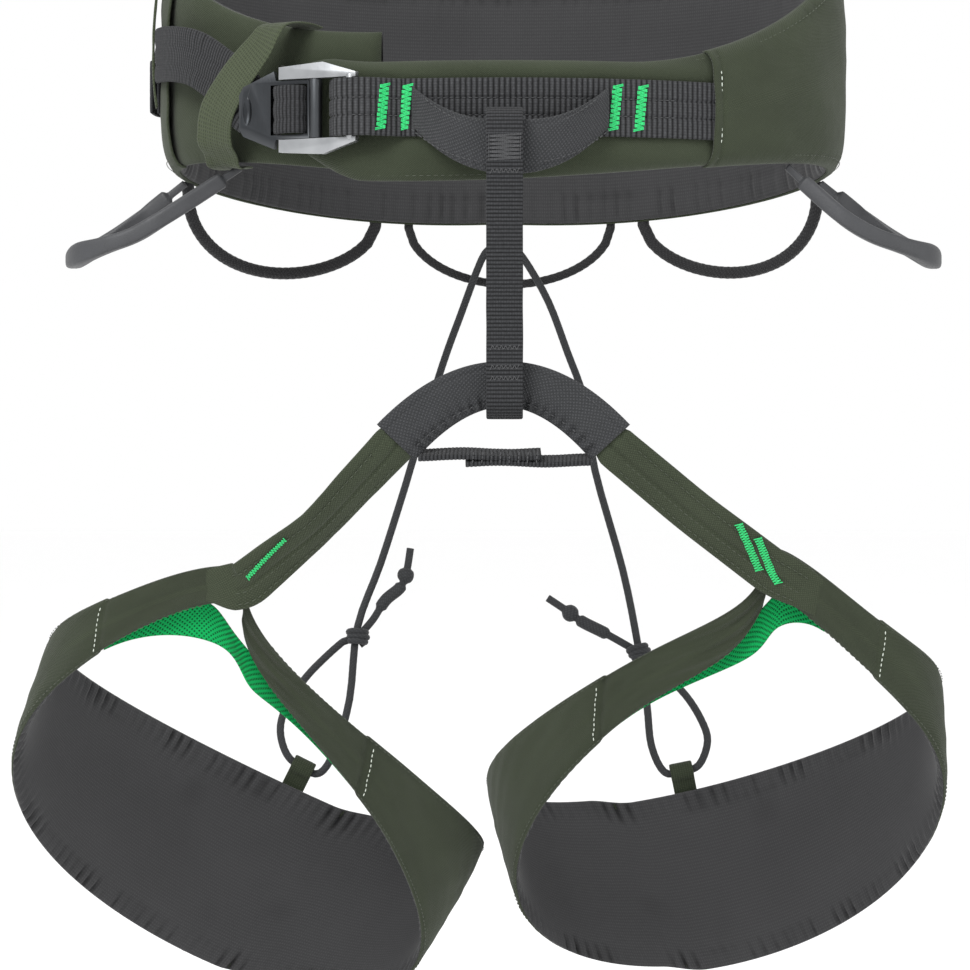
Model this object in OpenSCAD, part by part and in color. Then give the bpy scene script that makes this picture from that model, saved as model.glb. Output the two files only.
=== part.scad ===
// Sport climbing harness: a padded waist belt with one slide buckle, a belay loop,
// two leg loops on a lower tie-in bridge, gear loops and elastic rear risers.
// Millimetres, +Z up, the front faces -Y and the wearer's left is +X.
// The origin is the centre of the waist opening at the height of the front webbing.

/* [Show] */
// which sub-part to show

/* [Waist belt] */
// outside width of the belt from hip to hip, over the fabric cover
waist_width = 304; // [240:1:380]
// outside depth of the padding from front to back
waist_depth = 212; // [170:1:280]
// thickness of the padding at its middle, both skins included
pad_thickness = 9; // [6:0.5:14]
// thickness of one outer or inner fabric skin
skin_thickness = 1.2; // [0.6:0.1:2]
// height of the top edge at the front
front_top = 22; // [16:1:40]
// height of the top edge at the small of the back
back_top = 85; // [50:1:120]
// height of the bottom edge
belt_bottom = -29.3; // [-45:0.1:-18]
// how far the bottom edge rises over the hips
hip_arch = 13.5; // [0:0.5:25]
// extra height of the end that tucks inside
inner_end_lift = 14; // [0:1:25]

/* [Waist webbing and buckle] */
// width of the waist webbing
webbing_width = 24; // [18:0.5:45]
// thickness of the waist webbing
webbing_thickness = 2; // [1.4:0.1:3]
// height of the webbing's middle above the origin
webbing_height = 2; // [-6:0.5:8]
// length of the buckle's dark plate
plate_length = 36; // [30:0.5:48]
// thickness of the buckle's plate
plate_thickness = 2.8; // [2:0.1:4]
// thickness of the buckle's bright frame
frame_thickness = 3.2; // [2:0.1:5]
// diameter of the pin that the plate turns on
pin_d = 2.6; // [2:0.1:4]
// diameter of the cross bar that the webbing goes round
bar_d = 4.4; // [3:0.1:6]

/* [Belay loop and tie-in sleeves] */
// outside length of the belay loop
belay_length = 128; // [90:1:160]
// width of the belay loop
belay_width = 15; // [12:0.5:22]
// thickness of one ply of the belay loop
belay_ply = 1.65; // [1:0.05:3]
// distance between the middles of the belay loop's two strands
belay_spread = 17.5; // [14:0.5:26]
// how far the belay loop's middle stands in front of the padding
belay_stand_off = 18; // [14:0.5:30]
// height of the upper tie-in sleeve at its middle
upper_sleeve_w = 22.4; // [16:0.2:26]
// height of the lower tie-in sleeve at its middle
lower_sleeve_w = 18.5; // [14:0.5:19]
// thickness of both tie-in sleeves
sleeve_thickness = 5; // [3:0.2:6]
// sideways reach of the lower tie-in sleeve from its middle
lower_sleeve_reach = 44; // [30:1:60]
// drop of the lower tie-in sleeve from its middle to its ends
lower_sleeve_drop = 24; // [10:1:40]
// width of the cross strap that joins the leg straps
cross_strap_width = 16; // [10:0.5:20]

/* [Leg loops] */
// greatest padding width of the left leg loop, at its back
left_loop_width = 93; // [60:1:110]
// greatest padding width of the right leg loop, at its back
right_loop_width = 84; // [60:1:110]
// width of the left leg loop at its front
left_front_width = 17; // [12:0.5:30]
// width of the right leg loop at its front
right_front_width = 21; // [12:0.5:30]
// half of the sideways size of the left leg loop
left_reach = 100; // [75:1:125]
// half of the sideways size of the right leg loop
right_reach = 95; // [75:1:125]
// thickness of the leg padding at its middle, both skins included
leg_pad_thickness = 5; // [4:0.2:8]
// thickness of a leg loop's fabric skin
leg_skin = 0.8; // [0.5:0.1:1.4]
// thickness of the leg straps
leg_strap_thickness = 3.2; // [2:0.1:5]
// width of the left leg strap
left_strap_width = 20; // [14:0.5:26]
// width of the right leg strap
right_strap_width = 19; // [14:0.5:26]

/* [Gear loops and cords] */
// diameter of the moulded front gear loops
moulded_loop_d = 6.6; // [4:0.2:9]
// diameter of the sheathed rear gear loops
cord_loop_d = 5.5; // [3:0.1:8]
// drop of the sheathed rear gear loops below the belt
cord_loop_drop = 29; // [20:1:60]
// diameter of the haul loop cord
haul_loop_d = 4; // [3:0.1:8]
// drop of the haul loop below the belt
haul_loop_drop = 26; // [15:1:60]
// diameter of the elastic riser cord
riser_d = 3.5; // [2:0.1:5]
// bore of the tabs that hold the riser cord
tab_bore = 6; // [4.5:0.1:9]

/* [Hidden] */
// clearances
sewn_gap = 0.1;
free_gap = 0.4;
hinge_gap = 2.5;
hem_gap = 1.4;
// number of stations round the belt and round a leg loop
belt_steps = 72;
leg_steps = 27;
// middle surface of the belt: an ellipse, angles run from the front towards +X
cover_lift = 3.2;
cover_thickness = 0.8;
cover_out = pad_thickness / 2 + cover_lift + cover_thickness + sewn_gap;
mid_a = waist_width / 2 - cover_out;
mid_b = waist_depth / 2 - pad_thickness / 2 - 0.5;
foam_half = pad_thickness / 2 - skin_thickness;
outer_end_angle = -41;
inner_end_angle = 337;
// belay loop: two strands and two round ends, seen along X
loop_y = -mid_b - pad_thickness / 2 - belay_stand_off;
loop_r = belay_spread / 2;
loop_out = loop_r + belay_ply + sewn_gap / 2;
loop_in = loop_r - belay_ply - sewn_gap / 2;
loop_top = -loop_out;
loop_low = -belay_length + loop_out;
// lower tie-in point, from which every place on the leg loops is measured
tie = [0, loop_y, -belay_length];

function unit(v) = v / norm(v);
function lerp(a, b, t) = a + (b - a) * t;
function clamp01(t) = max(0, min(1, t));
function step(a, b, x) = let (t = clamp01((x - a) / (b - a))) t * t * (3 - 2 * t);
function spow(x, p) = sign(x) * pow(abs(x), p);
function square_to(w, t) = unit(w - (w * t) * t);

// Catmull-Rom curve through hand-placed points, n steps between neighbours
function cr(a, b, c, d, t) = 0.5 * (2 * b + (c - a) * t + (2 * a - 5 * b + 4 * c - d) * t * t
    + (3 * b - 3 * c + d - a) * t * t * t);
function curve(p, n) = let (k = len(p)) [
    for (i = [0:k - 2], j = [0:n - 1])
        cr(p[max(i - 1, 0)], p[i], p[i + 1], p[min(i + 2, k - 1)], j / n),
    p[k - 1]
];
function tangents(p) = let (k = len(p)) [
    for (i = [0:k - 1]) unit(p[min(i + 1, k - 1)] - p[max(i - 1, 0)])
];
// directions square to a path that turn as little as they can
function carried(t) = let (k = len(t), n0 = unit(cross(t[0], abs(t[0].z) < 0.8 ? [0, 0, 1] : [1, 0, 0]))) [
    for (i = 0, n = n0; i < k; i = i + 1, n = i < k ? square_to(n, t[i]) : n) n
];

// closed solid through rings of the same even point count, each ring turning left about the path;
// a core inside a skin splits its twisted quads the other way, so that the two surfaces match
module skin(rings, core = false) {
    m = len(rings[0]);
    k = len(rings);
    polyhedron(
        points = [for (r = rings) each r],
        faces = concat(
            [for (i = [0:k - 2], j = [0:m - 1], q = (j + 1) % m, a = i * m, b = a + m)
                each core ? [[a + j, b + j, a + q], [b + j, b + q, a + q]]
                    : [[a + j, b + j, b + q], [a + j, b + q, a + q]]],
            [for (j = [0:m / 2 - 2]) each [[j, j + 1, m - 1 - j], [j + 1, m - 2 - j, m - 1 - j]]],
            [for (j = [0:m / 2 - 2], e = (k - 1) * m)
                each [[e + j + 1, e + j, e + m - 1 - j], [e + m - 2 - j, e + j + 1, e + m - 1 - j]]]
        )
    );
}

// round cord along a path, with a radius for each point or one for all
module cord(path, r, sides = 8) {
    t = tangents(path);
    n = carried(t);
    skin([
        for (i = [0:len(path) - 1]) let (b = cross(t[i], n[i]), q = is_list(r) ? r[i] : r)
            [for (j = [0:sides - 1]) path[i] + q * (cos(360 * j / sides) * n[i] + sin(360 * j / sides) * b)]
    ]);
}

// cross-sections of bands, as pairs across the width and through the thickness, from -1 to 1
flat_section = [[1, -0.5], [1, 0.5], [0.9, 1], [-0.9, 1], [-1, 0.5], [-1, -0.5], [-0.9, -1], [0.9, -1]];
round_section = [for (a = [0:30:330]) [spow(cos(a), 0.7), spow(sin(a), 0.8)]];

// band along a path: w gives the width direction of each point
module band(path, w, width, thickness, section = flat_section, square = true) {
    t = tangents(path);
    skin([
        for (i = [0:len(path) - 1])
            let (
                a = square ? square_to(w[i], t[i]) : w[i],
                n = unit(cross(t[i], a)),
                x = (is_list(width) ? width[i] : width) / 2,
                y = (is_list(thickness) ? thickness[i] : thickness) / 2
            )
            [for (s = section) path[i] + a * s.x * x + n * s.y * y]
    ]);
}

// flat strip seen from above: a ribbon of even thickness along 2-D points
module ribbon(p, t) {
    k = len(p);
    d = [for (i = [0:k - 1]) unit(p[min(i + 1, k - 1)] - p[max(i - 1, 0)])];
    n = [for (v = d) [-v.y, v.x]];
    polygon(concat(
        [for (i = [0:k - 1]) p[i] + n[i] * t / 2],
        [for (i = [k - 1:-1:0]) p[i] - n[i] * t / 2]
    ));
}

// half of a crowned padding section, from one edge over the crown to the other
function crown(n) = [for (i = [0:n]) [-spow(cos(180 * i / n), 0.6), pow(sin(180 * i / n), 0.7)]];

// ---- belt surface ----
function belt_top(a) = let (b = a > 180 ? 360 - a : a)
    front_top + (back_top - front_top) * step(20, 110, abs(b))
    + inner_end_lift * step(290, 340, a)
    - 8 * (1 - step(outer_end_angle, outer_end_angle + 12, a));
function belt_low(a) = belt_bottom + 1.7 * cos(a) + hip_arch * pow(sin(a), 2) + 3 * sin(2 * (a > 180 ? 360 - a : a))
    + 15 * (1 - step(outer_end_angle, outer_end_angle + 17, a))
    + 4 * step(325, 337, a);
function belt_in(a) = -(pad_thickness + 3) * step(270, 315, a);
function belt_pt(a, v, z) = [(mid_a + v) * sin(a), -(mid_b + v) * cos(a), z];
function belt_ring(a, s) = let (
    mid = (belt_top(a) + belt_low(a)) / 2,
    h = (belt_top(a) - belt_low(a)) / 2 - skin_thickness
) [for (q = s) belt_pt(a, belt_in(a) + q[2], mid + q[0] * h + q[1])];

module belt_layer(a0, a1, steps, s, core = false) {
    skin([for (i = [0:steps]) belt_ring(lerp(a0, a1, i / steps), s)], core);
}

// section of a layer that lies between two crowned curves; side is 1 outside, -1 inside
function layer(n, e0, t0, e1, t1, side) = let (c = crown(n)) concat(
    [for (i = [0:n]) let (q = c[side > 0 ? i : n - i]) [q.x, sign(q.x) * e1, side * (0.05 + q.y * t1)]],
    [for (i = [n:-1:0]) let (q = c[side > 0 ? i : n - i]) [q.x, sign(q.x) * e0, side * (0.05 + q.y * t0)]]
);
foam_section = let (c = crown(6)) concat(
    [for (i = [0:6]) [c[i].x, 0, c[i].y * foam_half]],
    [for (i = [5:-1:1]) [c[i].x, 0, -c[i].y * foam_half]]
);

module waist_foam() {
    color("#5b5d60")
        belt_layer(outer_end_angle + 1, inner_end_angle - 1, belt_steps, foam_section, true);
}

module waist_shell() {
    color("#434b3b")
        belt_layer(outer_end_angle, inner_end_angle, belt_steps,
            layer(6, sewn_gap, foam_half + sewn_gap, skin_thickness, pad_thickness / 2, 1));
}

module waist_liner() {
    color("#3f3f41")
        belt_layer(outer_end_angle, inner_end_angle, belt_steps,
            layer(6, sewn_gap, foam_half + sewn_gap, skin_thickness, pad_thickness / 2, -1));
}

// fabric cover over the webbing, from the front edge seam round the back to the left hip
cover_start = 35.7;
cover_end = 281;

module waist_cover() {
    color("#3f4738")
        belt_layer(cover_start, cover_end, 50,
            layer(6, skin_thickness + sewn_gap, pad_thickness / 2 + cover_lift,
                skin_thickness + sewn_gap + cover_thickness, cover_out - 0.05, 1));
}

// ---- buckle: its own frame, x along the webbing, -y outwards ----
buckle_angle = -34;
buckle_v = pad_thickness / 2 + free_gap;
buckle_at = belt_pt(buckle_angle, buckle_v, webbing_height + 0.2);
buckle_turn = atan2(sin(buckle_angle) / (mid_a + buckle_v), cos(buckle_angle) / (mid_b + buckle_v));
function at_buckle(p) = [
    buckle_at.x + p.x * cos(buckle_turn) - p.y * sin(buckle_turn),
    buckle_at.y + p.x * sin(buckle_turn) + p.y * cos(buckle_turn)
];
module in_buckle_frame() {
    translate(buckle_at)
        rotate([0, 0, buckle_turn])
            children();
}
pin_x = 7.5;
pin_y = -5.8;
barrel_r = pin_d / 2 + free_gap / 2 + 1.3;
window_left = pin_x - barrel_r - 18;
plate_half = webbing_width / 2 + 0.3;
arm_in = plate_half + 0.3;
frame_y = -5.2;
bar_x = 24.5;

module buckle_plate() {
    color("#3a3b3d")
        in_buckle_frame()
            difference() {
                union() {
                    translate([0, pin_y + plate_thickness / 2, 0])
                        rotate([90, 0, 0])
                            linear_extrude(height = plate_thickness)
                                polygon([
                                    [pin_x, plate_half], [window_left + 2.5, plate_half],
                                    [window_left + 1.5, plate_half + 4], [pin_x - plate_length + 6, 12],
                                    [pin_x - plate_length + 2, 10.5], [pin_x - plate_length, 7],
                                    [pin_x - plate_length, -7], [pin_x - plate_length + 2, -10.5],
                                    [pin_x - plate_length + 6, -12], [window_left + 1.5, -plate_half - 4],
                                    [window_left + 2.5, -plate_half], [pin_x, -plate_half]
                                ]);
                    translate([pin_x, pin_y, -plate_half])
                        cylinder(r = barrel_r, h = 2 * plate_half, $fn = 48);
                }
                translate([window_left, pin_y - plate_thickness, -plate_half + 1.8])
                    cube([18 - 0.6, 2 * plate_thickness, 2 * plate_half - 3.6]);
                translate([pin_x, pin_y, -plate_half - 1])
                    cylinder(d = pin_d + free_gap, h = 2 * plate_half + 2, $fn = 48);
                translate([pin_x - plate_length + 4, pin_y - 5.4, 0])
                    scale([0.55, 1, 1.5])
                        sphere(r = 5.6, $fn = 48);
            }
}

module buckle_frame() {
    color("#b9bcbd")
        in_buckle_frame() {
            for (s = [-1, 1])
                translate([0, frame_y, 0])
                    rotate([90, 0, 0])
                        linear_extrude(height = frame_thickness)
                            polygon([
                                [-8.8, s * arm_in], [-8.8, s * (arm_in + 5.2)], [12, s * (arm_in + 6.6)],
                                [23, s * (arm_in + 3.4)], [27.5, s * (arm_in + 1.8)], [27.5, s * (arm_in - 0.3)],
                                [21, s * arm_in]
                            ]);
            translate([bar_x, frame_y - 1.4, -arm_in - 1])
                cylinder(d = bar_d, h = 2 * arm_in + 2, $fn = 48);
            translate([pin_x, pin_y, -arm_in - 2])
                cylinder(d = pin_d, h = 2 * arm_in + 4, $fn = 48);
        }
}

// front webbing, seen from above: in over the buckle's cross bar, then along the padding
bar_front = frame_y - 1.4 - bar_d / 2 - free_gap - webbing_thickness / 2;
web_v = pad_thickness / 2 + 0.25 + webbing_thickness / 2;
web_hidden_end = 44;
web_path = concat(
    curve([
        at_buckle([14, -3.6]), at_buckle([16.4, -6.2]), at_buckle([20, bar_front + 0.5]),
        at_buckle([bar_x, bar_front]), at_buckle([29, bar_front + 0.8]), at_buckle([33, bar_front + 3])
    ], 3),
    [for (a = [-16.5:3.025:web_hidden_end]) let (q = belt_pt(a, web_v, 0)) [q.x, q.y]]
);

module waist_webbing() {
    color("#47484a")
        translate([0, 0, webbing_height - webbing_width / 2])
            linear_extrude(height = webbing_width)
                ribbon(web_path, webbing_thickness);
}

// place and direction of the webbing where it crosses a given x
function web_at(x) = let (
    i = [for (j = [0:len(web_path) - 2]) if (web_path[j].x <= x && web_path[j + 1].x > x) j][0],
    a = web_path[i],
    b = web_path[i + 1]
) [lerp(a, b, (x - a.x) / (b.x - a.x)), atan2(b.y - a.y, b.x - a.x)];

// places across the front where green thread holds the webbing
waist_tack_x = [-51, -40.8, 46, 56.6];

module waist_bar_tacks() {
    color("#12a653")
        for (x = waist_tack_x) {
            q = web_at(x);
            translate([q[0].x, q[0].y, webbing_height - 9.5])
                rotate([0, 0, q[1]])
                    translate([-2.1, -webbing_thickness / 2 - 7 * sewn_gap - 0.8, 0])
                        cube([4.2, 0.8, 19]);
        }
}

// strap from the left hip, under the plate and up through its window
strap_v = cover_out + 0.2 + webbing_thickness / 2;
function flat3(p, z) = [p.x, p.y, z];
buckle_z = buckle_at.z;
strap_path = concat(
    [for (q = [[-88.5, 0, 35], [-82, 0, 34], [-75, -0.2, 33], [-68, -0.5, 31.5], [-61, -0.9, 28.5],
        [-55.5, -1.3, 23]]) belt_pt(q[0], strap_v + q[1], q[2])],
    [flat3(at_buckle([-35, -0.2]), 14), flat3(at_buckle([-28, -1.2]), 6.5)],
    curve([
        flat3(at_buckle([-22, -1.5]), buckle_z + 0.6), flat3(at_buckle([-15.5, -1.5]), buckle_z),
        flat3(at_buckle([-11.6, -3.4]), buckle_z), flat3(at_buckle([-10.4, -7.4]), buckle_z),
        flat3(at_buckle([-7.2, -9.4]), buckle_z), flat3(at_buckle([-3, -9.7]), buckle_z),
        flat3(at_buckle([0.6, -8.2]), buckle_z), flat3(at_buckle([1.6, -4.8]), buckle_z),
        flat3(at_buckle([0.4, -2]), buckle_z)
    ], 2)
);

module waist_strap() {
    k = len(strap_path);
    color("#46474a")
        band(strap_path, [for (p = strap_path) [0, 0, 1]],
            [for (i = [0:k - 1]) lerp(webbing_width, 2 * plate_half - 4.6, step(8, 12, i))], webbing_thickness);
}

// folded end of the strap on the left hip
module strap_tail() {
    color("#424345")
        skin([
            for (a = [-99:2:-91]) [
                for (q = [[11.4, 0.4], [12, 1], [12, 4], [11.4, 4.8], [-11.4, 4.8], [-12, 4], [-12, 1], [-11.4, 0.4]])
                    belt_pt(a, cover_out + 0.15 + q[1], 22 + q[0])
            ]
        ]);
}

// elastic keepers: sheets laid round the strap, as [height, offset, angle] stations
module keeper(stations, half_angle, t) {
    k = len(stations);
    p = [for (s = stations) [belt_pt(s[2] - half_angle, s[1], s[0]), belt_pt(s[2] + half_angle, s[1], s[0])]];
    mid = [for (q = p) (q[0] + q[1]) / 2];
    d = tangents(mid);
    skin([
        for (i = [0:k - 1]) let (n = unit(cross(d[i], p[i][1] - p[i][0])) * t / 2)
            [p[i][0] - n, p[i][1] - n, p[i][1] + n, p[i][0] + n]
    ]);
}

module keeper_front() {
    top = belt_top(320) + 1.4;
    low = belt_low(306) - 1.4;
    color("#4b5440")
        keeper([
            [top - 1, -17, -40], [top, -10, -40], [top, -1, -40], [top - 1.5, 6, -40.4], [top - 5, 9.4, -40.8],
            [top - 12, strap_v + 1.5, -42.2], [16, strap_v + 2, -46.8], [3, strap_v + 2, -50.6],
            [-8, strap_v - 0.4, -52.4], [low + 4, 3.4, -53.8], [low, -2, -54.2], [low, -14, -54.5]
        ], 2.9, 0.9);
}

module keeper_side() {
    color("#353a30")
        keeper([
            [70, strap_v - 0.1, -86.4], [60, strap_v + 0.6, -86.6], [48, strap_v + 1.6, -86.8],
            [35, strap_v + 1.9, -86.9], [22, strap_v + 1.6, -86.9], [12, strap_v + 0.4, -86.8]
        ], 1.5, 1.1);
}

// ---- upper tie-in ----
upper_mid_x = 2.7;
upper_reach = 40;
upper_mid_z = -5 - upper_sleeve_w / 2;
upper_end_z = webbing_height - 0.5;
upper_end_y = -mid_b - web_v - webbing_thickness / 2 - 1.9;

module upper_tie_in_sleeve() {
    t = [for (i = [-12:12]) i / 12];
    color("#3f4042")
        band(
            [for (s = t) [
                upper_mid_x + upper_reach * s,
                loop_y + (upper_end_y + 4.4 - loop_y) * pow(abs(s), 2.2),
                upper_mid_z + (upper_end_z - upper_mid_z) * pow(abs(s), 2.4)
            ]],
            [for (s = t) [0, 0, 1]],
            [for (s = t) lerp(upper_sleeve_w, 16.7, pow(abs(s), 1.5))],
            [for (s = t) lerp(sleeve_thickness, 2.6, pow(abs(s), 2))],
            round_section, false
        );
}

// ---- belay loop ----
module loop_ply(r0, r1) {
    translate([-belay_width / 2, 0, 0])
        rotate([90, 0, 90])
            linear_extrude(height = belay_width)
                difference() {
                    union() {
                        translate([loop_y, loop_top])
                            circle(r = r1, $fn = 72);
                        translate([loop_y, loop_low])
                            circle(r = r1, $fn = 72);
                        translate([loop_y - r1, loop_low])
                            square([2 * r1, loop_top - loop_low]);
                    }
                    translate([loop_y, loop_top])
                        circle(r = r0, $fn = 72);
                    translate([loop_y, loop_low])
                        circle(r = r0, $fn = 72);
                    translate([loop_y - r0, loop_low])
                        square([2 * r0, loop_top - loop_low]);
                }
}

module belay_loop_outer() {
    color("#464749")
        loop_ply(loop_r + sewn_gap / 2, loop_out);
}

module belay_loop_inner() {
    color("#3b3c3e")
        loop_ply(loop_in, loop_r - sewn_gap / 2);
}

module belay_stitching() {
    color("#58595b")
        translate([-belay_width / 2 + 1, loop_y - loop_out - sewn_gap - 0.5, loop_top - 12])
            cube([belay_width - 2, 0.5, 10]);
}

// ---- lower tie-in bridge ----
bridge_mid = [0, 0, 5.2 + lower_sleeve_w / 2];
function bridge_pt(s) = tie + bridge_mid + [lower_sleeve_reach * s - 0.5 * abs(s), -2 * abs(s), -lower_sleeve_drop * s * s];
bridge_t = [for (i = [-14:14]) i / 14];
bridge_path = [for (s = bridge_t) bridge_pt(s)];

module lower_tie_in_sleeve() {
    color("#3c3d3f")
        band(bridge_path, [for (s = bridge_t) [0, 0, 1]],
            [for (s = bridge_t) lerp(lower_sleeve_w, 21.5, abs(s))],
            [for (s = bridge_t) lerp(sleeve_thickness, 4.6, abs(s))], round_section);
}

module cross_strap(x0, x1, z) {
    translate([x0, tie.y, tie.z + z])
        rotate([13, 0, 0])
            translate([0, -cross_strap_width / 2, -1.1])
                cube([x1 - x0, cross_strap_width, 2.2]);
}

module cross_strap_left() {
    color("#3b3c3e")
        cross_strap(-lower_sleeve_reach + 9, 15, -14.4);
}

module cross_strap_right() {
    color("#3b3c3e")
        cross_strap(-16, lower_sleeve_reach - 8, -16.9);
}

// ---- leg loops ----
// A leg loop is a tilted ellipse whose front is drawn up to the strap's end.
// Angles run from the front towards the outer thigh; every place is from the tie-in point.
// [side, centre, reach, tilt, forward, front-to-back, outer pull, inner pull, widths,
//  front lean, back lean, width growth, lag, strap end, hollow]
left_leg = [-1, [-118, 114, -165], left_reach, 0.47, -0.24, [12, 73, -47], [44, 1.5], [32, 0.6],
    [left_front_width, left_loop_width], [0.1, -0.3, 1], [0.74, -0.16, 1], 1.15, -10, [-109, 36, -69], [1.5, 57]];
right_leg = [1, [96, 114, -162], right_reach, 0.18, -0.13, [-18, 72, -50], [28, 1.46], [39, 0.68],
    [right_front_width, right_loop_width], [0.15, -0.3, 1], [-0.45, -0.03, 1], 1.07, -2, [111.5, 36, -63], [-9.5, 17]];

function leg_u(g) = unit([g[0], g[4], g[3]]);
function leg_pt(g, a) = let (
    e = g[1] + g[2] * sin(a + g[12] * sin(a)) * leg_u(g) - cos(a) * g[5],
    q = a >= 0 ? g[6] : g[7],
    pull = exp(-pow(abs(a) / q[0], q[1])),
    dip = exp(-pow((a + g[14][1]) / 12.6, 2)) * g[14][0]
) tie + e + pull * (g[13] - g[1] + g[5]) - dip * leg_u(g);
function leg_v(a) = (1 - cos(a)) / 2;
function leg_half(g, a) = lerp(g[8][0], g[8][1], pow(leg_v(a), g[11])) / 2;
function leg_w(g, a) = unit(lerp(g[9], g[10], leg_v(a)));
function leg_t(g, a) = unit(leg_pt(g, a + 0.5) - leg_pt(g, a - 0.5));
// outward direction, and the offset that lets the two branches pass at the strap
function leg_n(g, a) = g[0] * unit(cross(leg_t(g, a), leg_w(g, a)));
function leg_shift(a) = sign(a) * 2.2 * exp(-pow(abs(a) / 14, 2));
function leg_scale(a) = lerp(0.5, 1, step(4, 60, abs(a)));
leg_angles = concat(
    [for (i = [0:leg_steps - 1]) 1.2 + 178.8 * pow(i / leg_steps, 1.5)],
    [180],
    [for (i = [leg_steps - 1:-1:0]) -4 - 176 * pow(i / leg_steps, 1.6)]
);
function leg_ring(g, a, s) = let (
    p = leg_pt(g, a == 180 ? 179.9 : a),
    w = leg_w(g, a),
    n = leg_n(g, a == 180 ? 179.9 : a),
    h = leg_half(g, a) - leg_skin,
    k = leg_scale(a),
    r = [for (q = s) p + w * (q[0] * h + q[1]) + n * (q[2] * k + leg_shift(a))]
) g[0] > 0 ? r : [for (i = [len(r) - 1:-1:0]) r[i]];

leg_foam_half = leg_pad_thickness / 2 - leg_skin;
leg_foam_section = let (c = crown(4)) concat(
    [for (i = [0:4]) [c[i].x, 0, c[i].y * leg_foam_half]],
    [for (i = [3:-1:1]) [c[i].x, 0, -c[i].y * leg_foam_half]]
);
function turned(s) = [for (i = [len(s) - 1:-1:0]) s[i]];

module leg_foam(g) {
    color("#55575a")
        skin([for (a = leg_angles) leg_ring(g, a, turned(leg_foam_section))], true);
}
module leg_shell(g) {
    color("#434b3b")
        skin([for (a = leg_angles) leg_ring(g, a,
            turned(layer(4, sewn_gap, leg_foam_half + sewn_gap, leg_skin, leg_pad_thickness / 2, 1)))]);
}
module leg_liner(g) {
    color("#404042")
        skin([for (a = leg_angles) leg_ring(g, a,
            turned(layer(4, sewn_gap, leg_foam_half + sewn_gap, leg_skin, leg_pad_thickness / 2, -1)))]);
}
module leg_foam_left() { leg_foam(left_leg); }
module leg_foam_right() { leg_foam(right_leg); }
module leg_shell_left() { leg_shell(left_leg); }
module leg_shell_right() { leg_shell(right_leg); }
module leg_liner_left() { leg_liner(left_leg); }
module leg_liner_right() { leg_liner(right_leg); }

// stretch mesh under the arch: outer and inner reach, drop at the strap, and how fast it fades
module mesh_gusset(g, outer, inner, drop, po, pi) {
    a = concat([for (i = [0:8]) -inner * pow(1 - i / 8, 1.6) - 0.3], [for (i = [0:8]) outer * pow(i / 8, 1.4) + 0.3]);
    r = [
        for (x = a) let (
            e = leg_pt(g, x) - leg_w(g, x) * leg_half(g, x) + [0, 5.2, 0],
            top = e + leg_w(g, x) * 3,
            low = e - [0, 0, drop * (x >= 0 ? pow(clamp01(1 - x / outer), po) : pow(clamp01(1 + x / inner), pi))]
        ) [low - [0, 0.5, 0], low + [0, 0.5, 0], top + [0, 0.5, 0], top - [0, 0.5, 0]]
    ];
    color("#16a255")
        skin(g[0] > 0 ? r : [for (q = r) turned(q)]);
}
module mesh_gusset_left() { mesh_gusset(left_leg, 42, 62, 24, 1.6, 3); }
module mesh_gusset_right() { mesh_gusset(right_leg, 17, 44, 18, 1.6, 2); }

// leg straps: from the sleeve's end down to the front of the leg loop
function strap_end(g) = leg_pt(g, 1.2) + leg_n(g, 4) * (4.4 + leg_strap_thickness / 2);
function strap_start(g) = let (e = bridge_pt(g[0]), t = unit(e - bridge_pt(g[0] * 0.96))) e + t * hinge_gap;
left_strap_points = [strap_start(left_leg), tie + [-77, 14, -43.5], strap_end(left_leg)];
right_strap_points = [strap_start(right_leg), tie + [78, 13, -38], strap_end(right_leg)];
// lean of the strap's upper edge towards the front, at its start, middle and end
left_strap_lean = [0.55, 1.1, 0.28];
right_strap_lean = [0.1, 0.3, 0.28];
function strap_curve(p) = curve([p[0], lerp(p[0], p[1], 0.5), p[1], lerp(p[1], p[2], 0.5), p[2]], 5);
function strap_lean(l, s) = s < 0.5 ? lerp(l[0], l[1], s * 2) : lerp(l[1], l[2], s * 2 - 1);

module leg_strap(g, p, l, width) {
    c = strap_curve(p);
    k = len(c) - 1;
    t = tangents(c);
    color("#434b3b")
        band(c, [for (i = [0:k]) square_to([g[0] * 0.6, -strap_lean(l, i / k), 0.8], t[i])],
            [for (i = [0:k]) lerp(width - 1, width + 1, i / k)], leg_strap_thickness, round_section);
}
module leg_strap_left() { leg_strap(left_leg, left_strap_points, left_strap_lean, left_strap_width); }
module leg_strap_right() { leg_strap(right_leg, right_strap_points, right_strap_lean, right_strap_width); }

// green stitching on the straps: small raised bars from [along, across] to [along, across]
module strap_tack(g, p, l, width, from, to) {
    c = strap_curve(p);
    k = len(c) - 1;
    t = tangents(c);
    function at(s, u) = let (
        i = min(k - 1, floor(s * k)),
        q = lerp(c[i], c[i + 1], s * k - i),
        w = square_to([g[0] * 0.6, -strap_lean(l, s), 0.8], t[i]),
        n = cross(t[i], w),
        out = n.y < 0 ? n : -n
    ) [q + w * u * width / 2, out];
    path = [for (i = [0:4]) at(lerp(from[0], to[0], i / 4), lerp(from[1], to[1], i / 4))];
    d = tangents([for (q = path) q[0]]);
    skin([
        for (i = [0:4]) let (
            o = path[i][1],
            b = unit(cross(o, d[i])),
            e = path[i][0] + o * (leg_strap_thickness / 2 + 0.15)
        ) [e - b * 1.7, e + b * 1.7, e + b * 1.7 + o * 0.8, e - b * 1.7 + o * 0.8]
    ]);
}
module leg_tacks_left() {
    color("#12a653")
        for (u = [-0.42, 0.42])
            strap_tack(left_leg, left_strap_points, left_strap_lean, left_strap_width, [0.66, u], [0.95, u * 0.8]);
}
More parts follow.
